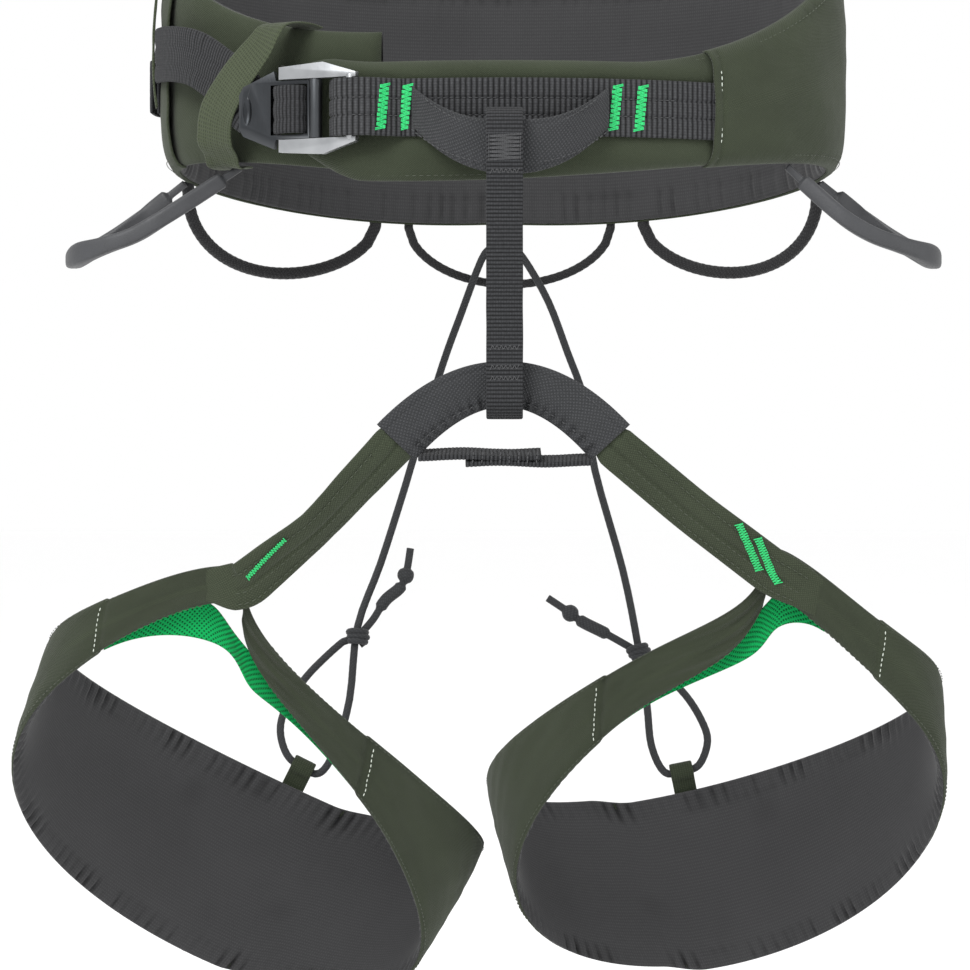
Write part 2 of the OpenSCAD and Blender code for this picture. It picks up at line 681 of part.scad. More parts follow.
module leg_tacks_right() {
    color("#12a653")
        for (s = [0.70, 0.84])
            strap_tack(right_leg, right_strap_points, right_strap_lean, right_strap_width, [s, 0.8], [s + 0.13, -0.75]);
}

// rear tabs: a folded webbing eye above the padding's edge, which holds the riser
function tab_base(g, a) = leg_pt(g, a) + leg_w(g, a) * leg_half(g, a);
function tab_up(g, lean) = unit([lean, 0, 1]);
function tab_eye(g, a, lean) = tab_base(g, a) + leg_n(g, a) * 5.6 + tab_up(g, lean) * 9;
module rear_tab(g, a, lean) {
    e = tab_eye(g, a, lean);
    color("#454d3c")
        translate(e)
            rotate([0, atan2(lean, 1), 0])
                difference() {
                    union() {
                        rotate([0, 90, 0])
                            cylinder(d = tab_bore + 3, h = 9, center = true, $fn = 48);
                        translate([-4.5, -1.5, -15])
                            cube([9, 3, 15 - tab_bore / 2]);
                    }
                    rotate([0, 90, 0])
                        cylinder(d = tab_bore, h = 11, center = true, $fn = 48);
                }
}
left_tab = [171, 0.5];
right_tab = [167, -0.2];
module rear_tab_left() { rear_tab(left_leg, left_tab[0], left_tab[1]); }
module rear_tab_right() { rear_tab(right_leg, right_tab[0], right_tab[1]); }

// ---- rear anchor and risers ----
anchor_v = 3;
anchor_z = belt_low(180) - 11.5;
anchor = [0, mid_b + anchor_v, anchor_z];
module riser_anchor_tab() {
    color("#3b3c3e")
        difference() {
            union() {
                translate(anchor)
                    rotate([0, 90, 0])
                        cylinder(d = tab_bore + 3.4, h = 11, center = true, $fn = 48);
                translate(anchor + [-5.5, -1.2, 3])
                    cube([11, 2.4, 11.5 - 3 - 1.2]);
            }
            translate(anchor)
                rotate([0, 90, 0])
                    cylinder(d = tab_bore + 0.4, h = 13, center = true, $fn = 48);
        }
}

// A riser's points keep their places as chosen; the top follows the anchor and the
// bottom follows the tab, each point by its height.
left_eye = tab_eye(left_leg, left_tab[0], left_tab[1]);
right_eye = tab_eye(right_leg, right_tab[0], right_tab[1]);
function follow(p, eye, home) = let (f = clamp01((p.z - home.z) / (-42 - home.z)))
    p + (anchor - [0, 104, -42]) * f + (eye - home) * (1 - f);
left_home = [-96, 58, -283];
right_home = [84, 58, -288];
left_riser_points = [
    [-0.4, 104, -42], [-5, 103.8, -42.3], [-10, 101.6, -48.5], [-20, 99, -74], [-29, 94, -98], [-43, 86, -141],
    [-48, 83, -157], [-59, 77, -190], [-70, 72, -219], [-74, 65, -252], [-81, 60, -275], [-88, 58, -285.5],
    [-96, 58, -283], [-103, 58, -277], [-106, 60, -266], [-103, 63, -255], [-94, 66, -242], [-84, 69, -232],
    [-77, 71, -226]
];
right_riser_points = [
    [0.4, 104, -42], [5, 103.8, -42.3], [11, 101.6, -48.5], [22, 99, -68], [31, 95, -92], [39, 91, -115],
    [44, 85, -148], [57, 76, -195], [64, 70, -230], [68, 64, -257], [70, 60, -276], [76, 58, -288.3],
    [84, 58, -288], [92, 58, -285], [96, 60, -274], [93, 63, -264], [86, 66, -253], [76, 69, -243],
    [70, 71, -237]
];
left_riser_path = curve([for (p = left_riser_points) follow(p, left_eye, left_home)], 4);
right_riser_path = curve([for (p = right_riser_points) follow(p, right_eye, right_home)], 4);
module riser_left() {
    color("#3d3e40")
        cord(left_riser_path, riser_d / 2);
}
module riser_right() {
    color("#3d3e40")
        cord(right_riser_path, riser_d / 2);
}

// knots: three wraps round the standing cord
module hitch(p, q) {
    d = unit(q - p);
    color("#333436")
        translate((p + q) / 2)
            rotate([0, acos(d.z), atan2(d.y, d.x)])
                for (i = [-1:1])
                    translate([0, 0, i * riser_d * 0.75])
                        rotate_extrude($fn = 36)
                            translate([riser_d + 0.1, 0])
                                circle(d = riser_d * 0.8, $fn = 16);
}
module hitch_left() { hitch(left_riser_path[32] - [0, 0, 0.01], left_riser_path[33]); }
module hitch_right() { hitch(right_riser_path[32] - [0, 0, 0.01], right_riser_path[33]); }

// free tails: bare cord, a sleeve, a stopper ball and the cut end
function tail_radii(n) = [for (i = [0:n]) let (f = i / n)
    riser_d / 2 + 1.2 * step(0.22, 0.28, f) * (1 - step(0.58, 0.62, f))
    + 2.1 * pow(sin(180 * clamp01((f - 0.62) / 0.16)), 0.8)];
module tail(p) {
    c = curve(p, 5);
    color("#38393b")
        cord(c, tail_radii(len(c) - 1));
}
module tail_left() {
    tail([for (p = [[-63, 73, -216], [-57, 74, -207], [-50, 75, -201], [-47, 76, -194], [-45, 77, -183]])
        follow(p, left_eye, left_home)]);
}
module tail_right() {
    tail([for (p = [[57, 71, -229], [48, 72, -224], [38, 73, -219], [31, 74, -214], [22, 75, -208]])
        follow(p, right_eye, right_home)]);
}

// ---- gear loops ----
function wrap(a) = a < outer_end_angle ? a + 360 : a;
function hem_pt(a, v) = let (w = wrap(a)) belt_pt(w, belt_in(w) + v, belt_low(w) - 1 - hem_gap);

// moulded front loops: thin cord at both ends, a stiff tube with a blunt forward tip between
function moulded_points(s) = let (p = hem_pt(s * 60, 1), q = hem_pt(s * 99, 1)) [
    p, lerp(p, [s * 144, -60, -40], 0.45), [s * 146, -61, -41], [s * 158, -60, -48], [s * 170, -57, -52],
    [s * 181, -50, -55], [s * 187, -36, -57], [s * 187, -18, -56], [s * 182, -2, -51], [s * 172, 12, -43],
    [s * 161, 18, -34], lerp(q, [s * 161, 18, -34], 0.4), q
];
module moulded_loop(s) {
    c = curve(moulded_points(s), 4);
    n = len(c) - 1;
    color("#4c4e50")
        cord(c, [for (i = [0:n]) let (f = i / n)
            lerp(1.6, moulded_loop_d / 2 + 1.2 * exp(-pow((f - 0.42) / 0.08, 2)),
                step(0.1, 0.15, f) * (1 - step(0.9, 0.95, f)))], 10);
}
module front_gear_loop_left() { moulded_loop(-1); }
module front_gear_loop_right() { moulded_loop(1); }

// sheathed loops hang between two points of the hem
function hanging(p, q, drop, out, n) = let (mid = (p + q) / 2, o = unit([mid.x, mid.y, 0])) [
    for (i = [0:n]) let (t = i / n, k = 4 * t * (1 - t))
        lerp(p, q, t) - [0, 0, drop * pow(k, 0.55)] + o * out * pow(k, 0.8)
];
module side_gear_loop(s, back) {
    color("#3d3e40")
        cord(hanging(hem_pt(s * 104, 3), hem_pt(s * back, 3), cord_loop_drop, 13, 30), cord_loop_d / 2);
}
module side_gear_loop_left() { side_gear_loop(-1, 156); }
module side_gear_loop_right() { side_gear_loop(1, 153); }
module haul_loop() {
    color("#38393b")
        cord(hanging(hem_pt(159.5, 3), hem_pt(197.5, 3), haul_loop_drop, 11, 24), haul_loop_d / 2);
}

waist_foam();
waist_shell();
waist_liner();
waist_cover();
waist_webbing();
waist_strap();
strap_tail();
keeper_front();
keeper_side();
buckle_frame();
buckle_plate();
waist_bar_tacks();
upper_tie_in_sleeve();
belay_loop_outer();
belay_loop_inner();
belay_stitching();
lower_tie_in_sleeve();
cross_strap_left();
cross_strap_right();
leg_foam_left();
leg_foam_right();
leg_shell_left();
leg_shell_right();
leg_liner_left();
leg_liner_right();
mesh_gusset_left();
mesh_gusset_right();
leg_strap_left();
leg_strap_right();
leg_tacks_left();
leg_tacks_right();
rear_tab_left();
rear_tab_right();
riser_anchor_tab();
riser_left();
riser_right();
hitch_left();
hitch_right();
tail_left();
tail_right();
front_gear_loop_left();
front_gear_loop_right();
side_gear_loop_left();
side_gear_loop_right();
haul_loop();
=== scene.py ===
# %% [markdown]
# # Sport climbing harness
# A padded waist belt, a belay loop and two leg loops, sewn from stretch shell fabric, foam,
# knitted liner and polyamide webbing. This lesson builds its looks around fixed CAD solids.
# Soft goods are mostly long things with a cross-section, so one loft function makes nearly
# all of them, and Geometry Nodes lays the stitches and the thread of the bar tacks.

# %% Frame, and the size of the CAD model
import math

import bmesh
import bpy
import numpy as np
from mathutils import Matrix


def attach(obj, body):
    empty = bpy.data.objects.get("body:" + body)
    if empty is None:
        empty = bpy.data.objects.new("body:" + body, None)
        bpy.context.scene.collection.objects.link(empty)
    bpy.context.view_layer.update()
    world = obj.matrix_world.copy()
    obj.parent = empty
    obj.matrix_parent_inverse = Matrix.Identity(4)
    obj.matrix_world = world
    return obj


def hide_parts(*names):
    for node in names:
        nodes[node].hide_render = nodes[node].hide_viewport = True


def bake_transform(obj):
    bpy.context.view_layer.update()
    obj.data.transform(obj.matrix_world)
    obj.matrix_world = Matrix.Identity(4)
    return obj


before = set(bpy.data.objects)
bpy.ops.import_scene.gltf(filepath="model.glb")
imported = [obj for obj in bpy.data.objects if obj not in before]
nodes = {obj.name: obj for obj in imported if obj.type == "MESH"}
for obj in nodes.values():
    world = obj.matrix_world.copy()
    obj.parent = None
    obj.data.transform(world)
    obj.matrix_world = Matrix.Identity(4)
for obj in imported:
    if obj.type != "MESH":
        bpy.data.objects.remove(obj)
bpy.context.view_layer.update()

# %% [markdown]
# The camera looks straight along +Y from 1.6 m away, a little under the belt, so that the
# inside of the belt's back shows above and below its front.

# %% Camera
camera_data = bpy.data.cameras.new("camera")
camera_data.lens = 133.6
camera_data.sensor_width = 36
camera = bpy.data.objects.new("camera", camera_data)
bpy.context.scene.collection.objects.link(camera)
camera.location = (-0.008, -1.6, -0.155)
camera.rotation_euler = (math.radians(90), 0, 0)
bpy.context.scene.camera = camera
print("camera at", tuple(camera.location))

# %% [markdown]
# Numbers that the pieces share. They repeat the CAD source's sizes, in millimetres, and
# every mesh is divided by 1000 as it is made.

# %% Sizes of the belt and the loops, in millimetres
PAD, SKIN = 9.0, 1.2
FRONT_TOP, BACK_TOP, BELT_LOW = 22.0, 85.0, -29.3
COVER_OUT = PAD / 2 + 3.2 + 0.8 + 0.1
MID_A, MID_B = 304 / 2 - COVER_OUT, 212 / 2 - PAD / 2 - 0.5
OUTER_END, INNER_END = -41.0, 337.0
WEB_W, WEB_T, WEB_Z = 24.0, 2.0, 2.0
LOOP_Y = -MID_B - PAD / 2 - 18
LOOP_R, PLY = 17.5 / 2, 1.65
LOOP_OUT = LOOP_R + PLY + 0.05
TIE = np.array([0, LOOP_Y, -128.0])
SLEEVE_W, REACH, DROP = 18.5, 44.0, 24.0
HINGE_GAP = 2.5
SEED = 11


def unit(v):
    v = np.asarray(v, float)
    return v / np.linalg.norm(v, axis=-1, keepdims=True)


def smooth(a, b, x):
    t = np.clip((x - a) / (b - a), 0, 1)
    return t * t * (3 - 2 * t)


def wrap(a):
    return np.where(a < OUTER_END, a + 360, a)


def belt_top(a):
    b = np.where(a > 180, 360 - a, a)
    return (FRONT_TOP + (BACK_TOP - FRONT_TOP) * smooth(20, 110, np.abs(b))
            + 14 * smooth(290, 340, a) - 8 * (1 - smooth(OUTER_END, OUTER_END + 12, a)))


def belt_low(a):
    r = np.radians(a)
    b = np.radians(np.where(a > 180, 360 - a, a))
    return (BELT_LOW + 1.7 * np.cos(r) + 13.5 * np.sin(r) ** 2 + 3 * np.sin(2 * b)
            + 15 * (1 - smooth(OUTER_END, OUTER_END + 17, a)) + 4 * smooth(325, 337, a))


def belt_in(a):
    return -12 * smooth(270, 315, a)


def belt_pt(a, v, z):
    a, v, z = np.broadcast_arrays(np.asarray(a, float), v, z)
    r = np.radians(a)
    return np.stack([(MID_A + v) * np.sin(r), -(MID_B + v) * np.cos(r), z], -1)


def belt_normal(a):
    r = np.radians(np.asarray(a, float))
    return unit(np.stack([np.sin(r) / MID_A, -np.cos(r) / MID_B, 0 * r], -1))


print("belt middle", MID_A, "x", MID_B, "mm, belay loop at y", LOOP_Y)

# %% [markdown]
# A harness is drawn with curves. `curve` is a Catmull-Rom line through given points,
# `even` spaces points equally along a line, and `carried` carries a width direction along it.

# %% Curves
def curve(points, n):
    p = np.asarray(points, float)
    k, out = len(p), []
    for i in range(k - 1):
        a, b, c, d = p[max(i - 1, 0)], p[i], p[i + 1], p[min(i + 2, k - 1)]
        for j in range(n):
            t = j / n
            out.append(0.5 * (2 * b + (c - a) * t + (2 * a - 5 * b + 4 * c - d) * t * t
                              + (3 * b - 3 * c + d - a) * t ** 3))
    return np.array(out + [p[-1]])


def length_along(p):
    return np.concatenate([[0], np.cumsum(np.linalg.norm(np.diff(p, axis=0), axis=1))])


def even(p, step, *extra):
    """The line p, and anything given for its points, at equal steps of about `step`."""
    s = length_along(p)
    t = np.linspace(0, s[-1], max(2, int(round(s[-1] / step))) + 1)
    made = [np.stack([np.interp(t, s, col) for col in np.asarray(q, float).reshape(len(p), -1).T], -1)
            for q in (p, *extra)]
    return (t, *[m[:, 0] if m.shape[1] == 1 else m for m in made])


def directions(p):
    t = np.empty_like(p)
    t[1:-1] = p[2:] - p[:-2]
    t[0], t[-1] = p[1] - p[0], p[-1] - p[-2]
    return unit(t)


def square_to(w, t):
    return unit(w - (w * t).sum(-1, keepdims=True) * t)


def carried(p):
    """Directions square to a line that turn as little as they can."""
    t = directions(p)
    n = unit(np.cross(t[0], [0, 0, 1] if abs(t[0][2]) < 0.8 else [1, 0, 0]))
    out = []
    for d in t:
        n = square_to(n, d)
        out.append(n)
    return np.array(out)


rng = np.random.default_rng(SEED)
WAVES = rng.uniform(-1, 1, (5, 7, 4))


def ripple(u, v, size, which=0):
    """Soft, repeatable unevenness between about -1 and 1, for places u, v in millimetres."""
    total = 0
    for fx, fy, phase, weight in WAVES[which]:
        total = total + (0.6 + 0.4 * weight) * np.sin(
            (u * fx + v * fy) * 2 * math.pi / size + phase * 7 + 2 * np.sin(u * fy / size + phase))
    return total / 3.2


print("ripple at the origin", round(float(ripple(0.0, 0.0, 30)), 3))

# %% [markdown]
# `loft` is the workhorse: it joins rings of points into one closed skin, with a UV map in
# which one unit is 100 mm of cloth. The weave materials read that map, so a thread runs
# along every strap however it turns. `plain` makes any other mesh.

# %% Meshes
def plain(name, verts_mm, faces, uv=None, smooth_shading=True):
    mesh = bpy.data.meshes.new(name)
    mesh.from_pydata((np.asarray(verts_mm, float) / 1000).tolist(), [], faces)
    if uv is not None:
        layer = mesh.uv_layers.new(name="cloth")
        index = np.zeros(len(mesh.loops), np.int32)
        mesh.loops.foreach_get("vertex_index", index)
        layer.data.foreach_set("uv", (np.asarray(uv, float)[index] / 100).ravel())
    obj = bpy.data.objects.new(name, mesh)
    bpy.context.scene.collection.objects.link(obj)
    mesh.polygons.foreach_set("use_smooth", [smooth_shading] * len(mesh.polygons))
    return obj


def outward(obj, merge=0.0):
    bm = bmesh.new()
    bm.from_mesh(obj.data)
    if merge:
        bmesh.ops.remove_doubles(bm, verts=bm.verts, dist=merge)
    bmesh.ops.recalc_face_normals(bm, faces=bm.faces)
    bm.to_mesh(obj.data)
    bm.free()
    return obj


def loft(name, rings, along, around, closed=False):
    """A skin through rings (k, m, 3). along and around are cloth millimetres for the UV map."""
    k, m = rings.shape[:2]
    verts = rings.reshape(-1, 3)
    spans = k if closed else k - 1
    i, j = np.meshgrid(np.arange(spans), np.arange(m), indexing="ij")
    i, j = i.ravel(), j.ravel()
    i2, j2 = (i + 1) % k, (j + 1) % m
    quads = np.stack([i * m + j, i2 * m + j, i2 * m + j2, i * m + j2], 1)
    faces = quads.tolist()
    if not closed:
        for e, flip in ((0, False), ((k - 1) * m, True)):
            for q in range(m // 2 - 1):
                f = [e + q, e + q + 1, e + m - 2 - q, e + m - 1 - q]
                faces.append(f[::-1] if flip else f)
    mesh = bpy.data.meshes.new(name)
    mesh.from_pydata((verts / 1000).tolist(), [], faces)
    a_next = np.append(along, 2 * along[-1] - along[-2]) if closed else along
    u = np.stack([along[i], a_next[i + 1], a_next[i + 1], along[i]], 1)
    v = np.stack([around[j], around[j], around[j + 1], around[j + 1]], 1)
    uv = np.stack([u, v], -1).reshape(-1, 2)
    rest = len(mesh.loops) - len(uv)
    caps = np.tile([[along[0], around[0]]], (rest, 1)) if rest else np.zeros((0, 2))
    if rest:
        caps = caps + np.tile([[0, 0], [0, 1], [1, 1], [1, 0]], (rest // 4, 1))
    layer = mesh.uv_layers.new(name="cloth")
    layer.data.foreach_set("uv", (np.vstack([uv, caps]) / 100).ravel())
    mesh.polygons.foreach_set("use_smooth", [True] * len(mesh.polygons))
    obj = bpy.data.objects.new(name, mesh)
    bpy.context.scene.collection.objects.link(obj)
    return outward(obj)


def rounded(n, square=0.6):
    """A rounded flat section of n points: across from -1 to 1 and thick from -1 to 1."""
    a = np.linspace(0, 2 * math.pi, 4001)
    p = np.stack([np.sign(np.cos(a)) * np.abs(np.cos(a)) ** square,
                  np.sign(np.sin(a)) * np.abs(np.sin(a)) ** (square * 0.75)], 1)
    s = length_along(p * [1, 0.15])
    take = (np.arange(n) + 0.5) / n * s[-1]
    return np.stack([np.interp(take, s, p[:, 0]), np.interp(take, s, p[:, 1])], 1)


def around_of(section, half_w, half_t):
    p = section * [half_w, half_t]
    return length_along(np.vstack([p, p[:1]]))


def strap(name, path, width_dir, width, thickness, section=rounded(40, 0.35), relief=None, step=0.5,
          square=True):
    """A flat woven strap along a path. relief(s, x, side) raises the surface, in millimetres."""
    w0 = np.broadcast_to(np.asarray(width_dir, float), path.shape)
    width = np.broadcast_to(np.asarray(width, float), len(path))
    thickness = np.broadcast_to(np.asarray(thickness, float), len(path))
    s, p, w, wide, thick = even(path, step, w0, width, thickness)
    t = directions(p)
    w = square_to(w, t) if square else unit(w)
    n = unit(np.cross(t, w))
    x = section[None, :, 0] * wide[:, None] / 2
    y = section[None, :, 1] * thick[:, None] / 2
    if relief is not None:
        y = y + np.sign(section[None, :, 1]) * relief(s[:, None], x, np.sign(section[None, :, 1])) \
            * np.minimum(1, np.abs(section[None, :, 1]) * 1.2)
    rings = p[:, None] + w[:, None] * x[..., None] + n[:, None] * y[..., None]
    return loft(name, rings, s, around_of(section, wide.mean() / 2, thick.mean() / 2))


def rod(name, path, radius, sides=16, step=0.8, relief=None):
    """A round cord along a path, with its own radius at each point."""
    radius = np.broadcast_to(np.asarray(radius, float), len(path))
    s, p, r = even(path, step, radius)
    n = carried(p)
    b = np.cross(directions(p), n)
    a = 2 * math.pi * np.arange(sides) / sides
    if relief is not None:
        r = r[:, None] + relief(s[:, None], a[None, :])
    else:
        r = np.repeat(r[:, None], sides, 1)
    rings = p[:, None] + r[..., None] * (np.cos(a)[None, :, None] * n[:, None] + np.sin(a)[None, :, None] * b[:, None])
    return loft(name, rings, s, np.append(a, 2 * math.pi) * float(r.mean()))


def mark_fold_shade(obj, depths):
    """Keeps how deep each point lies in a fold, so that the finish paints shade into the folds."""
    depths = np.clip((-np.asarray(depths).ravel() - 0.5) / 1.6, 0, 1)
    if len(depths) == len(obj.data.vertices):
        layer = obj.data.attributes.new("fold", "FLOAT", "POINT")
        layer.data.foreach_set("value", depths)
    return obj


def place(obj, body, slot, material, *stands_for):
    """Gives a finished piece its finish, its body and the CAD nodes that it stands for."""
    if material is not None:
        obj.data.materials.clear()
        obj.data.materials.append(material)
    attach(obj, body)
    if stands_for:
        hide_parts(*stands_for)
    print(f"{obj.name}: {len(obj.data.polygons)} faces on {body}")
    return obj

# %% [markdown]
# ## Finishes
# Every finish is built from nodes. Colours are sRGB hex values, turned to linear light by one
# function, and one small function adds a node with its settings and links. Cloth patterns
# read the `cloth` UV map, whose unit is 100 mm; a Wave texture's period there is
# 31.4 / scale millimetres, so each scale below is worked out from a thread spacing.

# %% Colour and node helpers
def linear(hex_colour, alpha=1.0):
    c = [int(hex_colour[i:i + 2], 16) / 255 for i in (1, 3, 5)]
    return tuple(x / 12.92 if x <= 0.04045 else ((x + 0.055) / 1.055) ** 2.4 for x in c) + (alpha,)


def add(tree, kind, inputs=None, **settings):
    """Adds a node; inputs maps a socket to a value or to another node's output."""
    node = tree.nodes.new(kind)
    for key, value in settings.items():
        setattr(node, key, value)
    for key, value in (inputs or {}).items():
        if isinstance(value, bpy.types.NodeSocket):
            tree.links.new(value, node.inputs[key])
        else:
            node.inputs[key].default_value = value
    return node


def period(millimetres):
    """The Wave texture's scale for a period on the cloth map."""
    return 10 * math.pi / millimetres


def surface(name, roughness, sheen=0.0, metallic=0.0, specular=0.5, coat=0.0):
    """A material with a Principled shader, whose even values sit on its own sockets."""
    material = bpy.data.materials.new(name)
    material.use_nodes = True
    tree = material.node_tree
    tree.nodes.clear()
    shader = add(tree, "ShaderNodeBsdfPrincipled", {
        "Roughness": roughness, "Metallic": metallic, "Specular IOR Level": specular,
        "Sheen Weight": sheen, "Sheen Roughness": 0.45, "Coat Weight": coat})
    add(tree, "ShaderNodeOutputMaterial", {"Surface": shader.outputs[0]})
    return material, tree, shader


def blend_colours(tree, factor, low, high):
    ramp = add(tree, "ShaderNodeValToRGB", {"Fac": factor})
    ramp.color_ramp.elements[0].color = linear(low)
    ramp.color_ramp.elements[1].color = linear(high)
    return ramp


def woven(name, across, along, low, high, depth, roughness=0.85, sheen=0.25, heather=0.35, turn=0.0,
          mode="MULTIPLY"):
    """Cloth: two sets of threads make the height. The dye varies in fibres and in patches; the colour is lighter on the
    thread tops and darker between threads as painted shade, and painted shade darkens it where the mesh marks a fold.
    across and along are thread spacings in millimetres, depth the relief in millimetres."""
    material, tree, shader = surface(name, roughness, sheen, specular=0.12)
    cloth = add(tree, "ShaderNodeUVMap", uv_map="cloth")
    turned = add(tree, "ShaderNodeMapping", {"Vector": cloth.outputs[0], "Rotation": (0, 0, math.radians(turn))})
    waves = [add(tree, "ShaderNodeTexWave", {"Vector": turned.outputs[0], "Scale": period(p), "Distortion": 0.6,
                                             "Detail": 1.0, "Detail Scale": 3.0}, bands_direction=d)
             for p, d in ((along, "X"), (across, "Y"))]
    height = add(tree, "ShaderNodeMath", {0: waves[0].outputs["Fac"], 1: waves[1].outputs["Fac"]}, operation=mode)
    fibre = add(tree, "ShaderNodeTexNoise", {"Vector": cloth.outputs[0], "Scale": 140.0, "Detail": 2.0})
    patch = add(tree, "ShaderNodeTexNoise", {"Vector": cloth.outputs[0], "Scale": 3.0, "Detail": 3.0})
    spread = add(tree, "ShaderNodeMath", {0: fibre.outputs["Fac"], 1: heather}, operation="MULTIPLY")
    worn = add(tree, "ShaderNodeMath", {0: patch.outputs["Fac"], 1: 0.3}, operation="MULTIPLY")
    # Painted shade: the thread tops are coloured lighter and the dips between threads darker.
    thread = add(tree, "ShaderNodeMath", {0: height.outputs[0], 1: 0.45}, operation="MULTIPLY")
    both = add(tree, "ShaderNodeMath", {0: spread.outputs[0], 1: worn.outputs[0]}, operation="ADD")
    tone = add(tree, "ShaderNodeMath", {0: both.outputs[0], 1: thread.outputs[0]}, operation="ADD")
    colour = blend_colours(tree, tone.outputs[0], low, high)
    colour.color_ramp.elements[0].position = 0.12
    colour.color_ramp.elements[1].position = 0.85
    # Painted shade: the colour is darkened to about half where the mesh's fold attribute marks a deep fold.
    fold_shade_depth = add(tree, "ShaderNodeAttribute", attribute_name="fold")
    shaded = add(tree, "ShaderNodeMapRange", {"Value": fold_shade_depth.outputs["Fac"], "To Min": 1.0, "To Max": 0.45})
    darker = add(tree, "ShaderNodeHueSaturation", {"Color": colour.outputs[0], "Value": shaded.outputs[0]})
    tree.links.new(darker.outputs[0], shader.inputs["Base Color"])
    grain = add(tree, "ShaderNodeMath", {0: fibre.outputs["Fac"], 1: 0.25}, operation="MULTIPLY")
    relief = add(tree, "ShaderNodeMath", {0: height.outputs[0], 1: grain.outputs[0]}, operation="ADD")
    bump = add(tree, "ShaderNodeBump", {"Height": relief.outputs[0], "Strength": 1.0, "Distance": depth / 1000})
    tree.links.new(bump.outputs[0], shader.inputs["Normal"])
    return material


# %% [markdown]
# The outer shell is a two-way stretch twill of polyamide and elastane, woven and dyed olive.
# Its real threads are 0.3 mm apart; they are drawn 0.9 mm apart so that the twill shows.
# It is matt, with a faint bloom of short fibres, which the sheen gives.

# %% Olive stretch twill, and the darker one of the cover
olive_twill = woven("olive_stretch_twill", 0.9, 0.9, "#20241b", "#434a3a", 0.14, 0.88, 0.1, 0.5, turn=28)
olive_binding = woven("olive_edge_binding", 1.1, 0.8, "#1e2219", "#3d4435", 0.16, 0.9, 0.08, 0.4)
olive_elastic = woven("olive_knitted_elastic", 1.1, 1.6, "#262b20", "#464d3b", 0.2, 0.85, 0.1, 0.35, mode="MAXIMUM")

# %% [markdown]
# The liner is a brushed knit: fine wales run across the padding, 1.1 mm apart.

# %% Dark knitted liner
liner_knit = woven("dark_brushed_knit", 1.6, 1.1, "#2e2e2f", "#404041", 0.06, 0.94, 0.14, 0.5)

# %% [markdown]
# Webbing is woven from coarse polyamide yarn. Its cross ribs are real relief in the mesh,
# and this finish adds the yarns, 1.2 mm apart, and paints shade dark into the grooves
# between ribs and yarns. The tie-in sleeves are a coarse plain weave
# that resists rubbing, drawn at its real 1.5 mm thread spacing.

# %% Grey webbing and the tie-in sleeves' plain weave
def ribbed(name, rib, yarn, low, high, depth):
    """Webbing: cross ribs that match the relief of the mesh, and yarns that run along it, with painted shade dark in
    the grooves between them.
    """
    material, tree, shader = surface(name, 0.8, 0.06, specular=0.15)
    cloth = add(tree, "ShaderNodeUVMap", uv_map="cloth")
    cross = add(tree, "ShaderNodeTexWave", {"Vector": cloth.outputs[0], "Scale": period(rib), "Distortion": 0.25,
                                            "Detail Scale": 6.0}, bands_direction="X")
    lines = add(tree, "ShaderNodeTexWave", {"Vector": cloth.outputs[0], "Scale": period(yarn), "Distortion": 0.8,
                                            "Detail Scale": 4.0}, bands_direction="Y")
    fibre = add(tree, "ShaderNodeTexNoise", {"Vector": cloth.outputs[0], "Scale": 90.0, "Detail": 3.0})
    rib_height_and_shade = add(tree, "ShaderNodeMath", {0: cross.outputs["Fac"], 1: 0.5}, operation="POWER")
    yarns = add(tree, "ShaderNodeMapRange", {"Value": lines.outputs["Fac"], "To Min": 0.72})
    speck = add(tree, "ShaderNodeMapRange", {"Value": fibre.outputs["Fac"], "From Min": 0.3, "From Max": 0.7,
                                            "To Min": 0.6})
    # Painted shade: the rib and yarn heights also set the colour, so the grooves are coloured dark.
    both = add(tree, "ShaderNodeMath", {0: rib_height_and_shade.outputs[0], 1: yarns.outputs[0]}, operation="MULTIPLY")
    tone = add(tree, "ShaderNodeMath", {0: both.outputs[0], 1: speck.outputs[0]}, operation="MULTIPLY")
    tree.links.new(blend_colours(tree, tone.outputs[0], low, high).outputs[0], shader.inputs["Base Color"])
    bump = add(tree, "ShaderNodeBump", {"Height": both.outputs[0], "Distance": depth / 1000})
    tree.links.new(bump.outputs[0], shader.inputs["Normal"])
    return material


# The low colours are the painted shade in the grooves of the webbing.
webbing_weave = ribbed("grey_polyamide_webbing", 2.3, 1.15, "#0c0c0d", "#4a4b4d", 0.3)
fine_webbing = ribbed("grey_fine_ribbed_webbing", 1.6, 1.1, "#0c0c0d", "#3d3e40", 0.22)
sleeve_weave = woven("grey_coarse_plain_weave", 1.25, 1.25, "#202122", "#4a4b4d", 0.3, 0.8, 0.08, 0.35, turn=32)
cord_sheath = woven("dark_braided_sheath", 1.0, 1.6, "#1c1c1d", "#363637", 0.2, 0.75, 0.1, 0.3, turn=38)
riser_rubber = woven("grey_elastic_cord", 0.9, 1.3, "#262728", "#3e3f41", 0.1, 0.7, 0.1, 0.3, turn=42)

# %% [markdown]
# The gussets under the leg arches are an open knitted mesh in bright green. Its holes are
# about 0.9 mm across; they are drawn as deep dark dots in rows, 2 mm apart.

